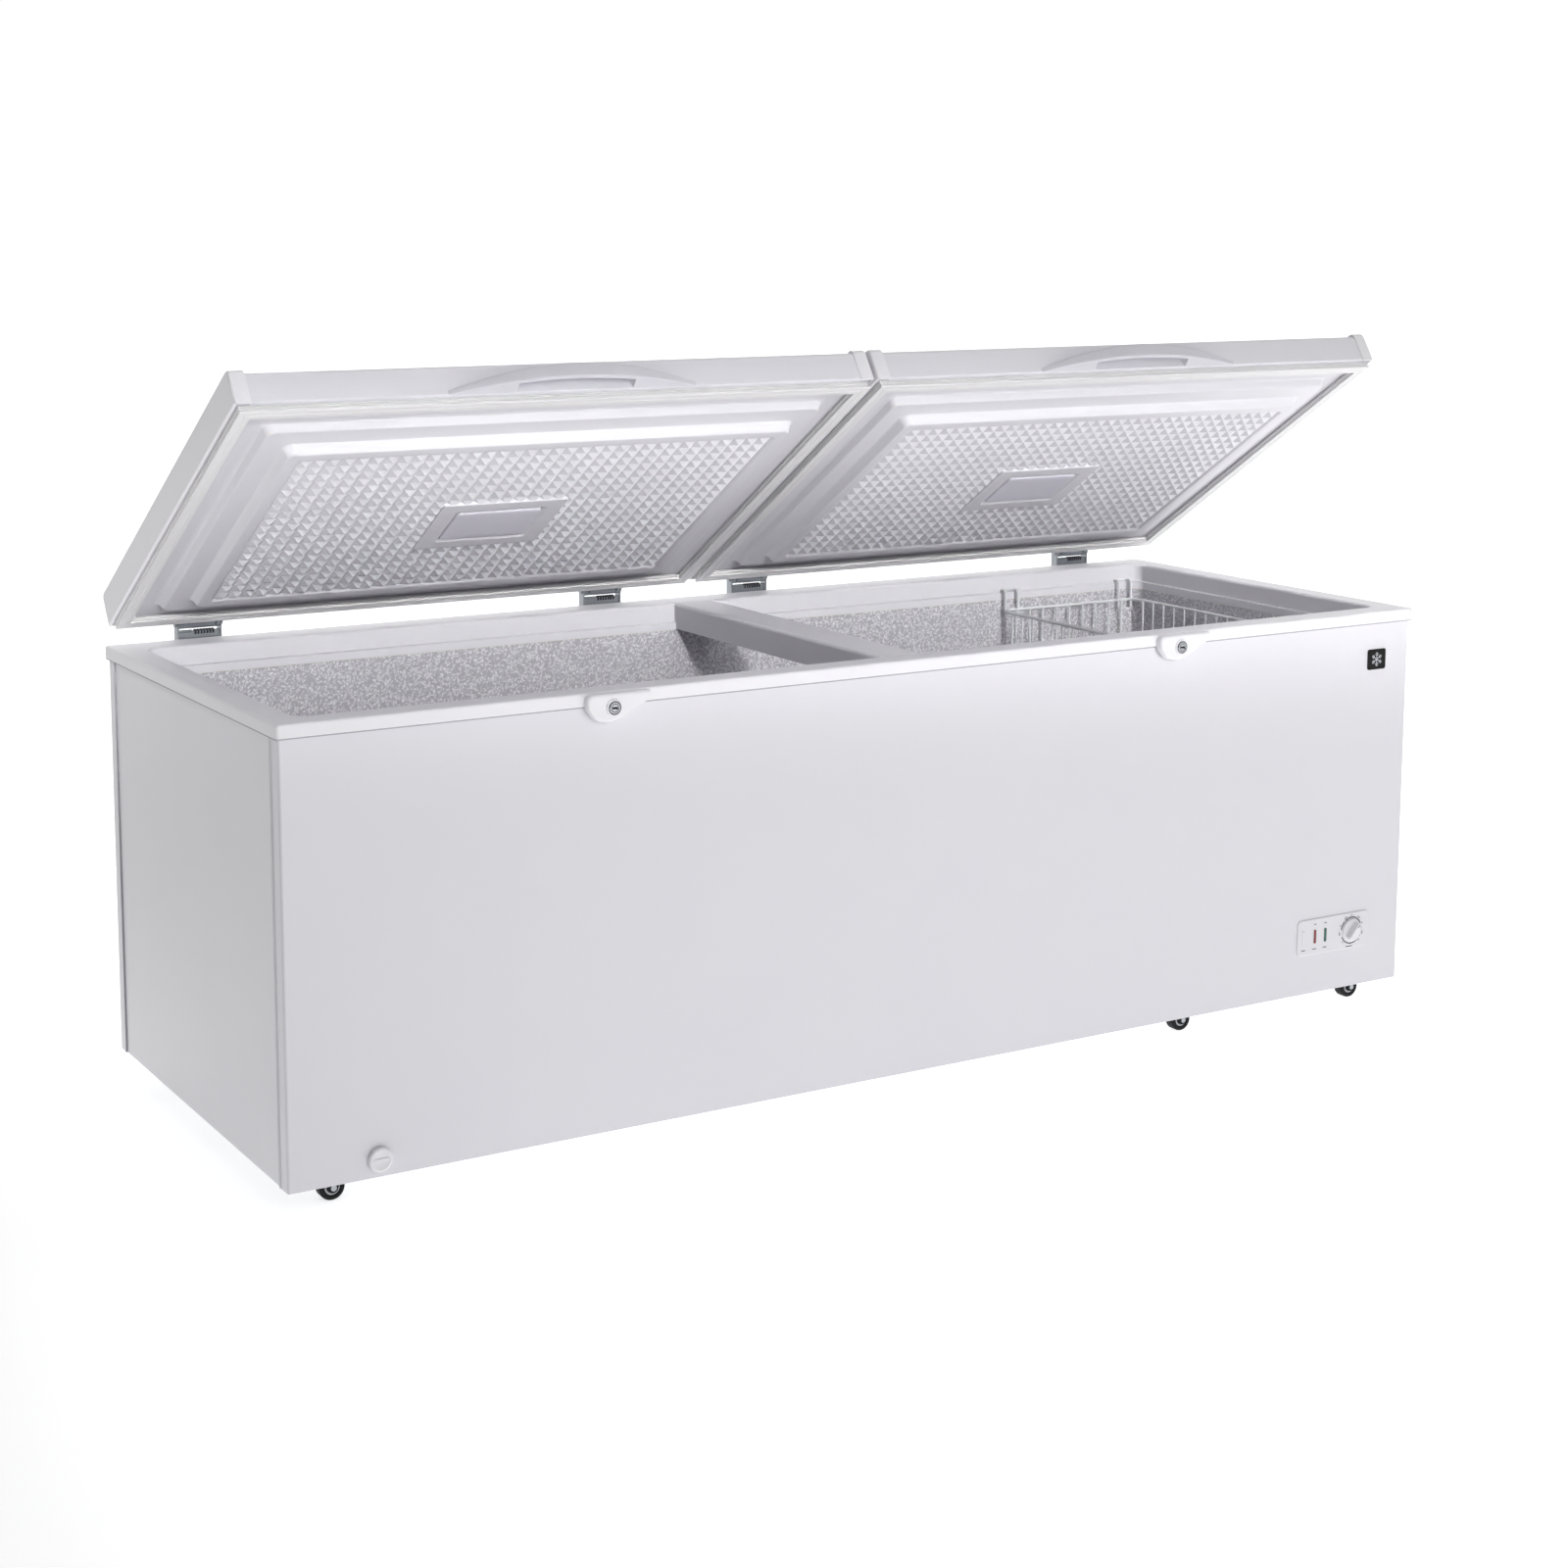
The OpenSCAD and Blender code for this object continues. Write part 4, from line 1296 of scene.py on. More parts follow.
@dataclass
class Lock:
    """Key lock on the collar's front: housing bulged at the left, tapered to the right."""

    side: Side
    span: float = 530.5
    top: float = 714.0
    back: float = -380.1
    front: float = -395.0
    edge: float = 4.5

    @property
    def x(self) -> float:
        """Middle of the housing."""
        return self.side.value * self.span

    @property
    def key(self) -> Point:
        """Middle of the key cylinder, distances along Y counted from zero."""
        return (self.x - 10, 0, self.top - 21)

    def outline(self) -> Outline:
        """Makes the housing's outline, anticlockwise from its top left.

        Returns:
            The outline's points, as (x, z).
        """
        x, t = self.x, self.top
        corners = [
            (x - 54, t), (x - 52, t - 22), (x - 38, t - 39), (x - 16, t - 43), (x + 8, t - 36),
            (x + 54, t - 10), (x + 54, t),
        ]
        rounded = filleted([(a, b, 0) for a, b in corners], 13, 5, closed=True)
        return [(a, b) for a, b, _ in rounded]

    def housing(self) -> Shape:
        """Builds the housing with a rounded front edge and a boss round the cylinder.

        Returns:
            The shape, in millimetres.
        """
        ring, f, edge = self.outline(), self.front, self.edge
        cx = sum(a for a, _ in ring) / len(ring)
        cz = sum(b for _, b in ring) / len(ring)
        loops = [[(a, self.back, b) for a, b in ring]]
        for deg in range(0, 91, 15):
            inset = edge * (1 - math.cos(math.radians(deg)))
            y = f + 2 + edge * (1 - math.sin(math.radians(deg)))
            scale_x, scale_z = 1 - inset / 54, 1 - inset / 22
            loops.append([(cx + (a - cx) * scale_x, y, cz + (b - cz) * scale_z) for a, b in ring])
        boss = [
            (9.06, f + 6), (13.6, f + 6), (13.2, f + 1.2), (12.4, f + 0.2), (11.4, f), (10, f),
            (9.3, f + 0.5), (9.06, f + 1),
        ]
        return Shape().loft(loops).join(Shape().lathe(boss, self.key, Axis.Y, 56))

    def cylinder(self) -> Shape:
        """Builds the key cylinder: bevelled face with a groove round its plug.

        Returns:
            The shape, in millimetres.
        """
        f = self.front
        profile = [
            (0, f + 13.6), (9, f + 13.6), (9, f - 0.1), (8.4, f - 0.8), (6.6, f - 0.8), (6.2, f - 0.3),
            (5.8, f - 0.3), (5.5, f - 0.7), (0, f - 0.7),
        ]
        return Shape().lathe(profile, self.key, Axis.Y, 56)

    def keyway(self) -> Shape:
        """Builds a black slot in the cylinder's face and two black rings round it: painted shade in the
        keyway and the gaps.

        Returns:
            The shape, in millimetres.
        """
        (x, _, z), f = self.key, self.front
        slot = [
            (x - 4.6, z - 1.5), (x + 2, z - 1.5), (x + 2, z - 2.6), (x + 4.6, z - 2.6),
            (x + 4.6, z + 1.5), (x - 4.6, z + 1.5),
        ]
        shape = Shape().prism(slot, Axis.Y, f - 0.82, f - 0.4)
        for inner, outer, y in ((5.7, 6.5, f - 0.2), (9.0, 10.2, f + 0.05)):
            ring = [(inner, y - 0.25), (outer, y - 0.25), (outer, y + 0.1), (inner, y + 0.1)]
            shape.join(Shape().lathe(ring, self.key, Axis.Y, 48))
        return shape

    def build(self, kit: Builder) -> None:
        """Makes the lock.

        Args:
            kit: Where objects are made.
        """
        word = self.side.word
        kit.make(
            f"lock_case_{word}", self.housing(), WHITE_ABS, "cabinet", [f"lock_housing_{word}"]
        )
        body = f"lock_cylinder_{word}"
        kit.make(f"lock_barrel_{word}", self.cylinder(), CHROME, body, [body])
        # the black slot and rings are painted shade in the keyway and the gaps round the cylinder
        kit.make(f"lock_keyway_{word}", self.keyway(), BLACK_BADGE_AND_SHADE, body)


@dataclass
class Hinges:
    """Hinge brackets, pins, springs and their panel screws."""

    places: tuple[float, ...] = (-895.0, -152.0, 152.0, 895.0)
    wall: float = 375.0
    top: float = 716.0
    half: float = 35.6
    coils: int = 7

    @property
    def screw_places(self) -> list[tuple[float, float]]:
        """Places (x, z) of the sixteen screws, four to a bracket."""
        return [(x + dx, self.top + dz) for x in self.places for dx in (-20, 20) for dz in (-80, -36)]

    def screws(self) -> Shape:
        """Builds the sixteen pan-head screws.

        Returns:
            The shape, in millimetres.
        """
        shape, y = Shape(), self.wall + 2.6
        head = [
            (0, y - 2.4), (2.4, y - 2.4), (2.4, y), (4.2, y), (4.2, y + 0.9), (3.6, y + 1.9),
            (2.2, y + 2.4), (0, y + 2.4),
        ]
        for x, z in self.screw_places:
            shape.join(Shape().lathe(head, (x, 0, z), Axis.Y, 28))
        return shape

    def recesses(self) -> Shape:
        """Builds black crosses in the screw heads: painted shade in the cross recesses.

        Returns:
            The shape, in millimetres.
        """
        shape, long, wide = Shape(), 2, 0.5
        cross = [
            (-wide, long), (-wide, wide), (-long, wide), (-long, -wide), (-wide, -wide), (-wide, -long),
            (wide, -long), (wide, -wide), (long, -wide), (long, wide), (wide, wide), (wide, long),
        ]
        for x, z in self.screw_places:
            outline = [(x + a, z + b) for a, b in cross]
            shape.join(Shape().prism(outline, Axis.Y, self.wall + 4.4, self.wall + 5.06))
        return shape

    def covers(self) -> Shape:
        """Builds the upright plates between the cheeks, below the barrels, their tops rolled.

        Returns:
            The shape, in millimetres.
        """
        shape, y, z, h = Shape(), self.wall + 10.4, self.top, self.half
        for x in self.places:
            shape.join(Shape().box((x - h, y - 1, z - 30), (x + h, y + 1, z + 10.6)).bevelled(0.5, 2))
            shape.join(Shape().tube([(x - h + 0.2, y, z + 11), (x - 12, y, z + 11)], 2.4, 16))
        return shape

    def springs(self) -> Shape:
        """Builds the dark springs seen between the cheeks, round their rods.

        Returns:
            The shape, in millimetres.
        """
        shape, y, z = Shape(), self.wall + 13.0, self.top + 8.6
        coil = [(2.4, -1.7), (4.6, -1.7), (5, -1.2), (5, 1.2), (4.6, 1.7), (2.4, 1.7)]
        for x in self.places:
            for i in range(self.coils):
                shape.join(Shape().lathe(coil, (x - 6 + 5 * i, y, z), Axis.X, 24))
            shape.join(Shape().tube([(x - 10, y, z), (x + 35, y, z)], 2.6, 12))
        return shape

    def build(self, kit: Builder) -> None:
        """Dresses the brackets and makes the screws.

        Args:
            kit: Where objects are made.
        """
        kit.dress("hinge_brackets", ZINC)
        kit.dress("hinge_pins", ZINC)
        kit.make("panel_screws", self.screws(), ZINC, "cabinet", ["screws"])
        kit.make("hinge_covers", self.covers(), ZINC, "cabinet")
        kit.make("hinge_springs", self.springs(), SPRING, "cabinet")
        # the black crosses in the screw heads are painted shade
        kit.make("screw_recesses", self.recesses(), BLACK_BADGE_AND_SHADE, "cabinet")


@dataclass
class Basket:
    """Coated wire basket hooked over the collar's ledge."""

    x0: float = 667.0
    x1: float = 987.0
    y0: float = -315.0
    y1: float = 300.0
    rim_z: float = 650.0
    drop: float = 190.0
    pitch: float = 30.0
    wire: float = 2.0
    rim: float = 3.0
    ledge_z: float = 683.0
    front_ledge: float = -327.0
    back_ledge: float = 312.0

    def rim_loop(self, grow: float, z: float) -> Loop:
        """Makes a rounded loop round the basket.

        Args:
            grow: Distance outside the rim's line.
            z: Height.

        Returns:
            The loop's points.
        """
        ring = rounded_rect(self.x0 - grow, self.y0 - grow, self.x1 + grow, self.y1 + grow, 22, 7)
        return [(x, y, z) for x, y in ring]

    def wires(self) -> Shape:
        """Builds the rim, the two mid hoops and the crossing U-shaped wires.

        Returns:
            The shape, in millimetres.
        """
        shape = Shape().tube(self.rim_loop(0, self.rim_z), self.rim, 12, closed=True)
        low = self.rim_z - self.drop
        for z in (low + 95, low + 12):
            hoop = self.rim_loop(-self.wire - self.rim + 1.6, z)
            shape.join(Shape().tube(hoop, self.wire, 10, closed=True))
        count = int((self.x1 - self.x0) // self.pitch)
        for i in range(1, count):
            x = self.x0 + i * (self.x1 - self.x0) / count
            a, b = self.y0 + self.wire, self.y1 - self.wire
            path = [(x, a, self.rim_z + 0.6), (x, a, low), (x, b, low), (x, b, self.rim_z + 0.6)]
            shape.join(Shape().tube(filleted(path, 16, 5), self.wire, 10))
        count = int((self.y1 - self.y0) // self.pitch)
        for i in range(1, count):
            y = self.y0 + i * (self.y1 - self.y0) / count
            a, b, z = self.x0 + self.wire, self.x1 - self.wire, low + 3.4
            path = [(a, y, self.rim_z + 0.6), (a, y, z), (b, y, z), (b, y, self.rim_z + 0.6)]
            shape.join(Shape().tube(filleted(path, 16, 5), self.wire, 10))
        return shape

    def hangers(self) -> Shape:
        """Builds the looped hangers that sit on the ledge.

        Returns:
            The shape, in millimetres.
        """
        shape, low, hz = Shape(), self.rim_z - 14, self.ledge_z + 3.4
        for a, b in ((self.x0 + 8, self.x0 + 38), (self.x1 - 38, self.x1 - 8)):
            for rim, out in ((self.y0, self.front_ledge - 4.5), (self.y1, self.back_ledge + 4.5)):
                near = rim + (-0.6 if out < rim else 0.6)
                path = [
                    (a, near, low), (a, near, hz), (a, out, hz), (b, out, hz), (b, near, hz), (b, near, low),
                ]
                shape.join(Shape().tube(filleted(path, 5, 5), 2.5, 12))
        return shape

    def build(self, kit: Builder) -> None:
        """Makes the basket.

        Args:
            kit: Where objects are made.
        """
        shape = self.wires().join(self.hangers())
        kit.make("basket_wires", shape, COATED_WIRE, "basket", ["basket"])


@dataclass
class Rollers:
    """Six fixed rollers in stamped forks."""

    places: tuple[tuple[float, float], ...] = (
        (-958.0, -300.0), (612.0, -300.0), (1003.0, -300.0),
        (-958.0, 300.0), (612.0, 300.0), (1003.0, 300.0),
    )
    radius: float = 20.0
    width: float = 20.0

    def tread(self, x: float, y: float) -> Shape:
        """Builds a wheel with a rounded tread and dished faces.

        Args:
            x: Wheel centre.
            y: Wheel centre.

        Returns:
            The shape, in millimetres.
        """
        r, h = self.radius, self.width / 2
        half = [
            (3.06, h), (6.6, h), (7.2, h - 1.2), (13.2, h - 1.2), (14, h - 0.2), (r - 2.4, h),
            (r - 0.9, h - 0.8), (r, h - 2.6),
        ]
        profile = half + [(a, -b) for a, b in half[::-1]]
        return Shape().lathe(profile, (x, y, r), Axis.Y, 64)

    def hub(self, x: float, y: float) -> Shape:
        """Builds the paler ring let into both faces of a wheel: a painted highlight.

        Args:
            x: Wheel centre.
            y: Wheel centre.

        Returns:
            The shape, in millimetres.
        """
        shape, h = Shape(), self.width / 2
        for s in (-1, 1):
            low, high = s * (h - 1.3), s * (h - 0.7)
            profile = [(8.6, low), (11.8, low), (11.5, high), (8.9, high)]
            shape.join(Shape().lathe(profile, (x, y, self.radius), Axis.Y, 48))
        return shape

    def build(self, kit: Builder) -> None:
        """Makes the wheels and dresses their forks.

        Args:
            kit: Where objects are made.
        """
        kit.dress("roller_frames", BLACK_NYLON)
        kit.dress("roller_axles", ZINC)
        for i, (x, y) in enumerate(self.places, 1):
            body = f"wheel_{i}"
            kit.make(f"roller_{i}_tread", self.tread(x, y), BLACK_NYLON, body, [body])
            # the paler ring on each wheel is a painted highlight
            kit.make(f"roller_{i}_ring", self.hub(x, y), PAINTED_HIGHLIGHT_GREY, body)


# ------------------------------------------------------------------ lids


@dataclass
class Lid:
    """One lid in its closed frame: hinge axis at the origin, front towards -Y."""

    side: Side
    near: float = 3.0
    far: float = 1058.0
    front: float = -763.0
    back: float = -43.0
    low: float = -12.0
    high: float = 38.0
    cap: float = 25.0
    lip: float = 13.0
    cells: tuple[int, int] = (35, 20)
    field_inset: float = 131.0
    field_base: float = -37.4
    field_tip: float = -44.2
    grip_half: float = 205.0
    grip_rise: float = 28.0
    grip_reach: float = 25.0
    grip_bar: float = 5.0
    grip_hole: float = 96.0
    grip_bend: float = 22.0

    @property
    def x0(self) -> float:
        """Lower end along X."""
        return -self.far if self.side is Side.LEFT else self.near

    @property
    def x1(self) -> float:
        """Upper end along X."""
        return -self.near if self.side is Side.LEFT else self.far

    @property
    def middle(self) -> float:
        """Middle along X."""
        return (self.x0 + self.x1) / 2

    @property
    def lamp_y(self) -> float:
        """Middle of the lamp along Y, a little behind the lid's own middle."""
        return (self.front + self.back) / 2 + 14

    def ring(self, inset: float, r: float, z: float, n: int = 5) -> Loop:
        """Makes a rounded loop inside the lid's outline.

        Args:
            inset: Distance from the outline.
            r: Corner radius.
            z: Height.
            n: Segments in a corner.

        Returns:
            The loop's points.
        """
        flat = rounded_rect(self.x0 + inset, self.front + inset, self.x1 - inset, self.back - inset, r, n)
        return [(x, y, z) for x, y in flat]

    def shell(self) -> Shape:
        """Builds the folded steel tray with rounded top edges and turned-in lips.

        Returns:
            The shape, in millimetres.
        """

        def path(t: float, soft: float, hard: float) -> Loop:
            """Makes one face of the bent sheet, from lip to lip.

            Args:
                t: Depth below the sheet's outer face.
                soft: Bend radius of the top edges.
                hard: Bend radius of the lips.

            Returns:
                The section's points as (y, z, 0).
            """
            f, b, lo, hi = self.front + t, self.back - t, self.low + t, self.high - t
            reach = self.lip - t
            sharp = [(f + reach, lo, 0), (f, lo, 0), (f, hi, 0), (b, hi, 0), (b, lo, 0), (b - reach, lo, 0)]
            lips, tops = filleted(sharp, hard), filleted(sharp, soft)
            return [lips[0]] + lips[1:7] + tops[7:19] + lips[19:25] + [lips[-1]]

        outline = path(0, 8, 1.6) + path(1, 7, 0.6)[::-1]
        section = [(y, z) for y, z, _ in outline]
        return Shape().prism(section, Axis.X, self.x0 + self.cap, self.x1 - self.cap)

    def end_caps(self) -> Shape:
        """Builds the two moulded end trims, a little proud of the tray.

        Returns:
            The shape, in millimetres.
        """
        shape, g = Shape(), 1.4
        stations = [
            (0, 3.4, 0), (0.6, 1.7, 0), (1.8, 0.5, 0), (3.4, 0, 0), (4, 0, 0), (4.01, 0, 4.2),
            (24.4, 0, 4.2), (25, 0.6, 4.2),
        ]
        for start, way in ((self.x0, 1), (self.x1, -1)):
            loops = []
            for along, inset, floor in stations:
                f, b = self.front - g + inset, self.back + g - inset
                lo, hi = self.low - g + inset, self.high + 3.2 + g - inset
                top = filleted([(f, lo, 0), (f, hi, 0), (b, hi, 0), (b, lo, 0)], 9, 6)
                step = lo + floor
                under = [(b - 2.4, lo, 0), (b - 2.4, step, 0), (f + 2.4, step, 0), (f + 2.4, lo, 0)]
                loops.append([(start + way * along, y, z) for y, z, _ in top + under])
            shape.join(Shape().loft(loops))
        return shape

    def liner(self) -> Shape:
        """Builds the formed inner face: flange, two rounded steps and the frame round the field.

        Returns:
            The shape, in millimetres.
        """
        section = [
            (5.5, 4, -8.8), (5.5, 4, -10.8), (27, 4, -10.9), (55, 8, -10.9), (59, 10, -11.6),
            (62.5, 12, -14), (64.5, 13, -18), (66, 14, -22.6), (68, 14, -25.2), (71, 14, -26),
            (97, 14, -26), (100.5, 14, -26.8), (103, 14, -29.4), (105.4, 13, -35), (107, 12, -39.4),
            (109, 12, -41.4), (112, 12, -42), (124, 9, -42), (127, 7, -41.4), (129, 5, -40),
            (130.6, 4, -38.2), (132, 4, -37),
        ]
        return Shape().loft([self.ring(*row) for row in section])

    def field_plate(self) -> Shape:
        """Builds the patterned field: rows of low pyramids, left flat under the lamp.

        Returns:
            The shape, in millimetres.
        """
        inset, base, tip = self.field_inset, self.field_base, self.field_tip
        nx, ny = self.cells
        x0, y0 = self.x0 + inset, self.front + inset
        length, depth = self.x1 - self.x0 - 2 * inset, self.back - self.front - 2 * inset
        xs = [x0 + length * i / nx for i in range(nx + 1)]
        ys = [y0 + depth * j / ny for j in range(ny + 1)]
        verts = [(x, y, base) for y in ys for x in xs]
        cell = nx + 1
        faces: list[Sequence[int]] = []
        for j in range(ny):
            for i in range(nx):
                a, b, c, d = j * cell + i, j * cell + i + 1, (j + 1) * cell + i + 1, (j + 1) * cell + i
                cx, cy = (xs[i] + xs[i + 1]) / 2, (ys[j] + ys[j + 1]) / 2
                if abs(cx - self.middle) < 96 and abs(cy - self.lamp_y) < 62:
                    faces.append((a, d, c, b))
                    continue
                verts.append((cx, cy, tip))
                e = len(verts) - 1
                faces.extend([(a, e, b), (b, e, c), (c, e, d), (d, e, a)])
        rim = list(range(cell)) + [k * cell + nx for k in range(1, ny + 1)]
        rim += [ny * cell + i for i in range(nx - 1, -1, -1)] + [k * cell for k in range(ny - 1, 0, -1)]
        start = len(verts)
        verts += [(verts[i][0], verts[i][1], base + 1.2) for i in rim]
        for k, i in enumerate(rim):
            n = (k + 1) % len(rim)
            faces.append((i, rim[n], start + n, start + k))
        faces.append(tuple(range(start, start + len(rim))))
        return Shape().extend(verts, faces)

    def gasket(self) -> Shape:
        """Builds the bellows gasket with its magnet bar and mitred corners.

        Returns:
            The shape, in millimetres.
        """
        section = [
            (10, -12.1), (8.4, -12.6), (8, -13.2), (8.2, -14.4), (9.8, -15), (9.8, -15.8), (8.2, -16.4),
            (8, -17), (8.2, -17.6), (9.8, -18.2), (9.8, -19), (8.4, -19.6), (8, -20.2), (8, -22.4),
            (8.6, -23.4), (9.8, -23.7), (17, -23.7), (17.6, -23.1), (18.4, -23.1), (19, -23.7),
            (26.4, -23.7), (27.6, -23.3), (28, -22.4), (27.6, -20.6), (25.6, -19.6), (25.6, -18.8),
            (27.8, -17.8), (27.8, -15.6), (25.8, -14.8), (25.8, -14), (27.4, -13.2), (26.6, -12.1),
        ]
        loops = []
        for inset, z in section:
            f, b = self.front + inset, self.back - inset
            x0, x1 = self.x0 + inset, self.x1 - inset
            loops.append([(x0, f, z), (x1, f, z), (x1, b, z), (x0, b, z)])
        return Shape().loft(loops, ring=True)

    def handle(self) -> Shape:
        """Builds the crescent handle: arched bar, sloping underside and the finger opening behind it.

        Returns:
            The shape, in millimetres.
        """
        half, rise, reach, bar = self.grip_half, self.grip_rise, self.grip_reach, self.grip_bar
        hole, bend, face = self.grip_hole, self.grip_bend, self.front
        bar_top, drop, roof_z = self.low + 6 + rise, 11.0, self.low + 23
        arch_r = (half * half + rise * rise) / (2 * rise)
        plan_r = (half * half + reach * reach) / (2 * reach)

        def under(depth: float) -> float:
            """Returns the height of the sloping underside, at a depth in front of the lid's face."""
            return self.low + drop * max(0.0, depth) / reach

        stops = {i * 8.0 for i in range(11)} | {hole - 0.05, hole + 0.05}
        stops |= {hole - bend + bend * math.sin(math.radians(a)) for a in range(0, 90, 15)}
        stops |= {hole + (half - 0.6 - hole) * i / 16 for i in range(1, 17)}
        order = sorted(stops)
        loops = []
        for x in [-v for v in order[:0:-1]] + order:
            a = abs(x)
            out = max(0.9, reach - plan_r + math.sqrt(plan_r**2 - a * a))
            top = bar_top - arch_r + math.sqrt(arch_r**2 - a * a)
            roof = -99.0
            if a < hole:
                over = max(0.0, a - (hole - bend))
                roof = roof_z - bend + math.sqrt(bend * bend - over * over)
            k = min(1.0, out / 9)
            inner = max(0.45 * out, out - bar)
            section = [
                (0, top + 4 * out / reach), (out - 4 * k, top + 0.4), (out - 1.2 * k, top - 0.9 * k),
                (out, top - 3.2 * k), (out, under(out) + 1.6 * k), (out - 0.9 * k, under(out) + 0.3 * k),
                (out - 2 * k, under(out - 2 * k)), (inner, under(inner)),
                (inner, max(roof, under(inner))), (0, max(roof, self.low)),
            ]
            loops.append([(self.middle + x, face - depth, z) for depth, z in section])
        return Shape().loft(loops)

    def lamp_ring(self, w: float, d: float, r: float, z: float) -> Loop:
        """Makes a rounded loop about the lamp's centre.

        Args:
            w: Length along X.
            d: Length along Y.
            r: Corner radius.
            z: Height.

        Returns:
            The loop's points.
        """
        cx, cy = self.middle, self.lamp_y
        ring = rounded_rect(cx - w / 2, cy - d / 2, cx + w / 2, cy + d / 2, r, 5)
        return [(x, y, z) for x, y in ring]

    def lamp_frame(self) -> Shape:
        """Builds the flat lamp frame, bevelled outside and sloped in to the lens.

        Returns:
            The shape, in millimetres.
        """
        section = [
            (215, 149, 3, -36.6), (215, 149, 3, -42.6), (213.8, 147.8, 3, -43.4), (212, 146, 3, -43.7),
            (162, 106, 8, -43.9), (159, 103, 8, -43.6), (153, 97, 7, -41.4), (149.4, 93.4, 6, -41.2),
            (149.4, 93.4, 6, -36.6),
        ]
        return Shape().loft([self.lamp_ring(*row) for row in section], ring=True)

    def lamp_lens(self) -> Shape:
        """Builds the low domed lens.

        Returns:
            The shape, in millimetres.
        """
        section = [
            (146, 90, 6, -37), (146, 90, 6, -41.6), (145, 89, 6, -42.8), (142, 86, 5.4, -43.8),
            (136, 80, 5, -44.4), (100, 54, 4, -44.8),
        ]
        return Shape().loft([self.lamp_ring(*row) for row in section])

    def build(self, kit: Builder) -> None:
        """Makes the lid in its resting pose.

        Args:
            kit: Where objects are made.
        """
        place, body = lid_matrix(), f"lid_{self.side.word}"
        parts: list[tuple[str, Callable[[], Shape], Finish, str, str]] = [
            ("tray", self.shell, PAINTED_STEEL, "painted_steel", "shell"),
            ("end_trims", self.end_caps, WHITE_ABS, "white_abs", "end_caps"),
            ("inner_face", self.liner, LINER_HIPS, "liner_abs", "liner"),
            ("field", self.field_plate, LINER_HIPS, "liner_abs", ""),
            ("seal", self.gasket, GASKET_PVC, "gasket_vinyl", "gasket"),
            # the grip's greyer ABS is painted shade
            ("grip", self.handle, SHADED_GRIP_ABS, "white_abs", "handle"),
            ("lamp_bezel", self.lamp_frame, LINER_HIPS, "liner_abs", "lamp_frame"),
            ("lamp_cover", self.lamp_lens, LENS, "lamp_lens", "lamp_lens"),
        ]
        for word, maker, finish, slot, node in parts:
            nodes = [f"{body}_{node}"] if node else []
            sharp = 1.0 if word == "field" else 26.0 if word in ("seal", "inner_face") else 38.0
            kit.make(f"{body}_{word}", maker().moved(place), finish, body, nodes, sharp)
        kit.dress(f"{body}_foam", FOAM)
        kit.dress(f"{body}_hinge_leaves", ZINC)


# ------------------------------------------------------------------ studio


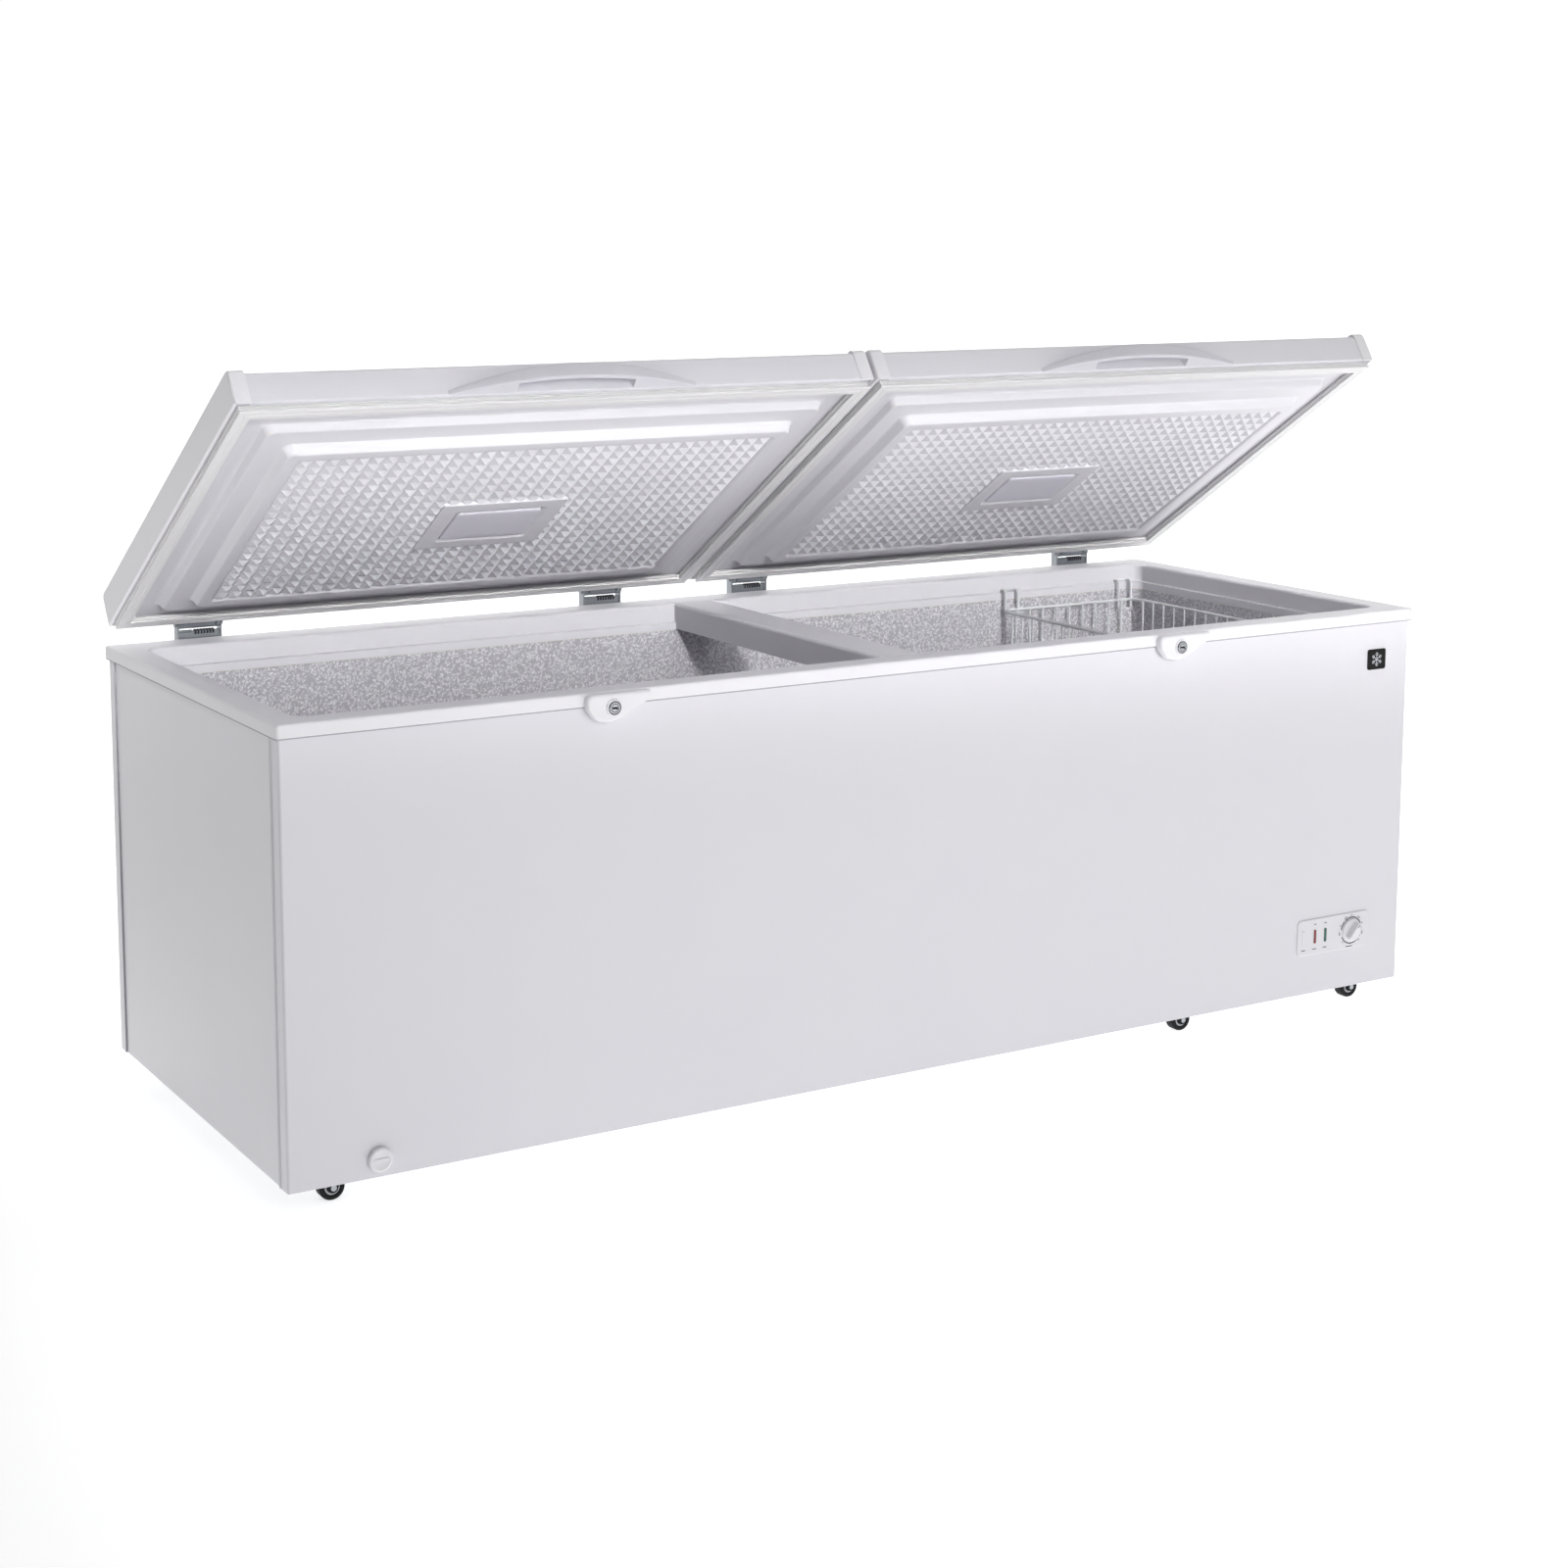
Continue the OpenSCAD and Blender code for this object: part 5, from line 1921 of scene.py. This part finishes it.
@dataclass
class Studio:
    """White floor and backdrop, soft lights and the camera; places are in metres."""

    azimuth_deg: float = 30.06
    pitch_deg: float = 8.0
    place: tuple[float, float, float] = (-2.302, -3.702, 1.411)
    lens: float = 60.28
    shift: tuple[float, float] = (0.05, -0.132)
    floor_half: float = 40.0

    def camera(self) -> None:
        """Adds the camera at the three-quarter view from the front left."""
        data = bpy.data.cameras.new("camera")
        data.lens, data.sensor_width = self.lens, 36.0
        data.shift_x, data.shift_y = self.shift
        made = bpy.data.objects.new("camera", data)
        bpy.context.scene.collection.objects.link(made)
        az, down = math.radians(self.azimuth_deg), math.radians(self.pitch_deg)
        forward = Vector((math.sin(az) * math.cos(down), math.cos(az) * math.cos(down), -math.sin(down)))
        turn = forward.to_track_quat("-Z", "Y").to_matrix().to_4x4()
        made.matrix_world = Matrix.Translation(self.place) @ turn
        bpy.context.scene.camera = made

    def light(
        self,
        name: str,
        at: Point,
        aim: Point,
        size: tuple[float, float],
        power: float,
        spread_deg: float = 180.0,
    ) -> None:
        """Adds one soft rectangular light.

        Args:
            name: Light name.
            at: Its place, metres.
            aim: Point it faces, metres.
            size: Width and height, metres.
            power: Watts.
            spread_deg: Full angle of its beam.
        """
        data = bpy.data.lights.new(name, "AREA")
        data.shape, data.energy = "RECTANGLE", power
        data.size, data.size_y = size
        data.spread = math.radians(spread_deg)
        made = bpy.data.objects.new(name, data)
        bpy.context.scene.collection.objects.link(made)
        made.location = at
        made.visible_camera = False
        made.rotation_mode = "QUATERNION"
        made.rotation_quaternion = (Vector(aim) - Vector(at)).to_track_quat("-Z", "Y")

    def floor(self) -> None:
        """Adds the wide floor."""
        mesh = bpy.data.meshes.new("floor")
        r = self.floor_half
        mesh.from_pydata([(-r, -r, 0), (r, -r, 0), (r, r, 0), (-r, r, 0)], [], [(0, 1, 2, 3)])
        mesh.materials.append(FLOOR.build())
        made = bpy.data.objects.new("floor", mesh)
        bpy.context.scene.collection.objects.link(made)

    def world(self, level: float, left_drop: float, front_drop: float) -> None:
        """Lights the surroundings, darker on the left and a little darker in front.

        Args:
            level: Brightness behind and above the object.
            left_drop: Loss of brightness due left.
            front_drop: Loss of brightness in front.
        """
        world = bpy.data.worlds.new("studio")
        world.use_nodes = True
        tree = world.node_tree
        where = add_node(tree, "ShaderNodeTexCoord").outputs["Generated"]
        total: Any = None
        for way, drop in (((-0.98, -0.2, 0.0), left_drop), ((0.1, -0.99, 0.0), front_drop)):
            towards = add_node(
                tree,
                "ShaderNodeVectorMath",
                settings={"operation": "DOT_PRODUCT"},
                values={1: way},
                links={0: where},
            )
            loss = add_node(
                tree,
                "ShaderNodeMapRange",
                settings={"interpolation_type": "SMOOTHSTEP"},
                values={"From Min": -0.1, "From Max": 1.0, "To Min": 0.0, "To Max": drop},
                links={"Value": towards.outputs["Value"]},
            )
            keep = add_node(tree, "ShaderNodeMath", settings={"operation": "SUBTRACT"}, values={0: level})
            if total is not None:
                tree.links.new(total, keep.inputs[0])
            tree.links.new(loss.outputs["Result"], keep.inputs[1])
            total = keep.outputs["Value"]
        # seen directly, the backdrop is plain white from every side
        seen = add_node(tree, "ShaderNodeLightPath").outputs["Is Camera Ray"]
        plain = add_node(tree, "ShaderNodeMath", settings={"operation": "MAXIMUM"}, links={0: total, 1: seen})
        shade = tree.nodes["Background"]
        shade.inputs["Color"].default_value = linear("#FFFFFF")
        tree.links.new(plain.outputs["Value"], shade.inputs["Strength"])
        bpy.context.scene.world = world

    def build(self) -> None:
        """Makes the whole studio."""
        self.floor()
        self.world(level=1.02, left_drop=0.98, front_drop=0.9)
        self.light("key", at=(0.7, -5.4, 3.2), aim=(0.3, 0.0, 0.7), size=(2.6, 2.6), power=57)
        # a narrow beam is far brighter for its power, so the two strips need only a few watts
        opening, lids = (-0.05, -0.32, 0.925), (0.7, -0.3, 0.92)
        self.light("opening", at=(-0.9, -5.0, 2.4), aim=opening, size=(3.6, 0.2), power=3.0, spread_deg=7.7)
        self.light("lids", at=(0.9, -3.4, 0.2), aim=lids, size=(3.0, 0.2), power=0.48, spread_deg=8.0)
        bpy.context.scene.view_settings.view_transform = "Standard"


def main() -> None:
    """Builds the scene in order."""
    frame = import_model()
    studio = Studio()
    studio.camera()
    kit = Builder(frame)
    Cabinet().build(kit)
    Rim().build(kit)
    Controls().build(kit)
    for side in Side:
        Lock(side).build(kit)
        Lid(side).build(kit)
    Hinges().build(kit)
    Basket().build(kit)
    Rollers().build(kit)
    studio.build()


if __name__ == "__main__":
    main()
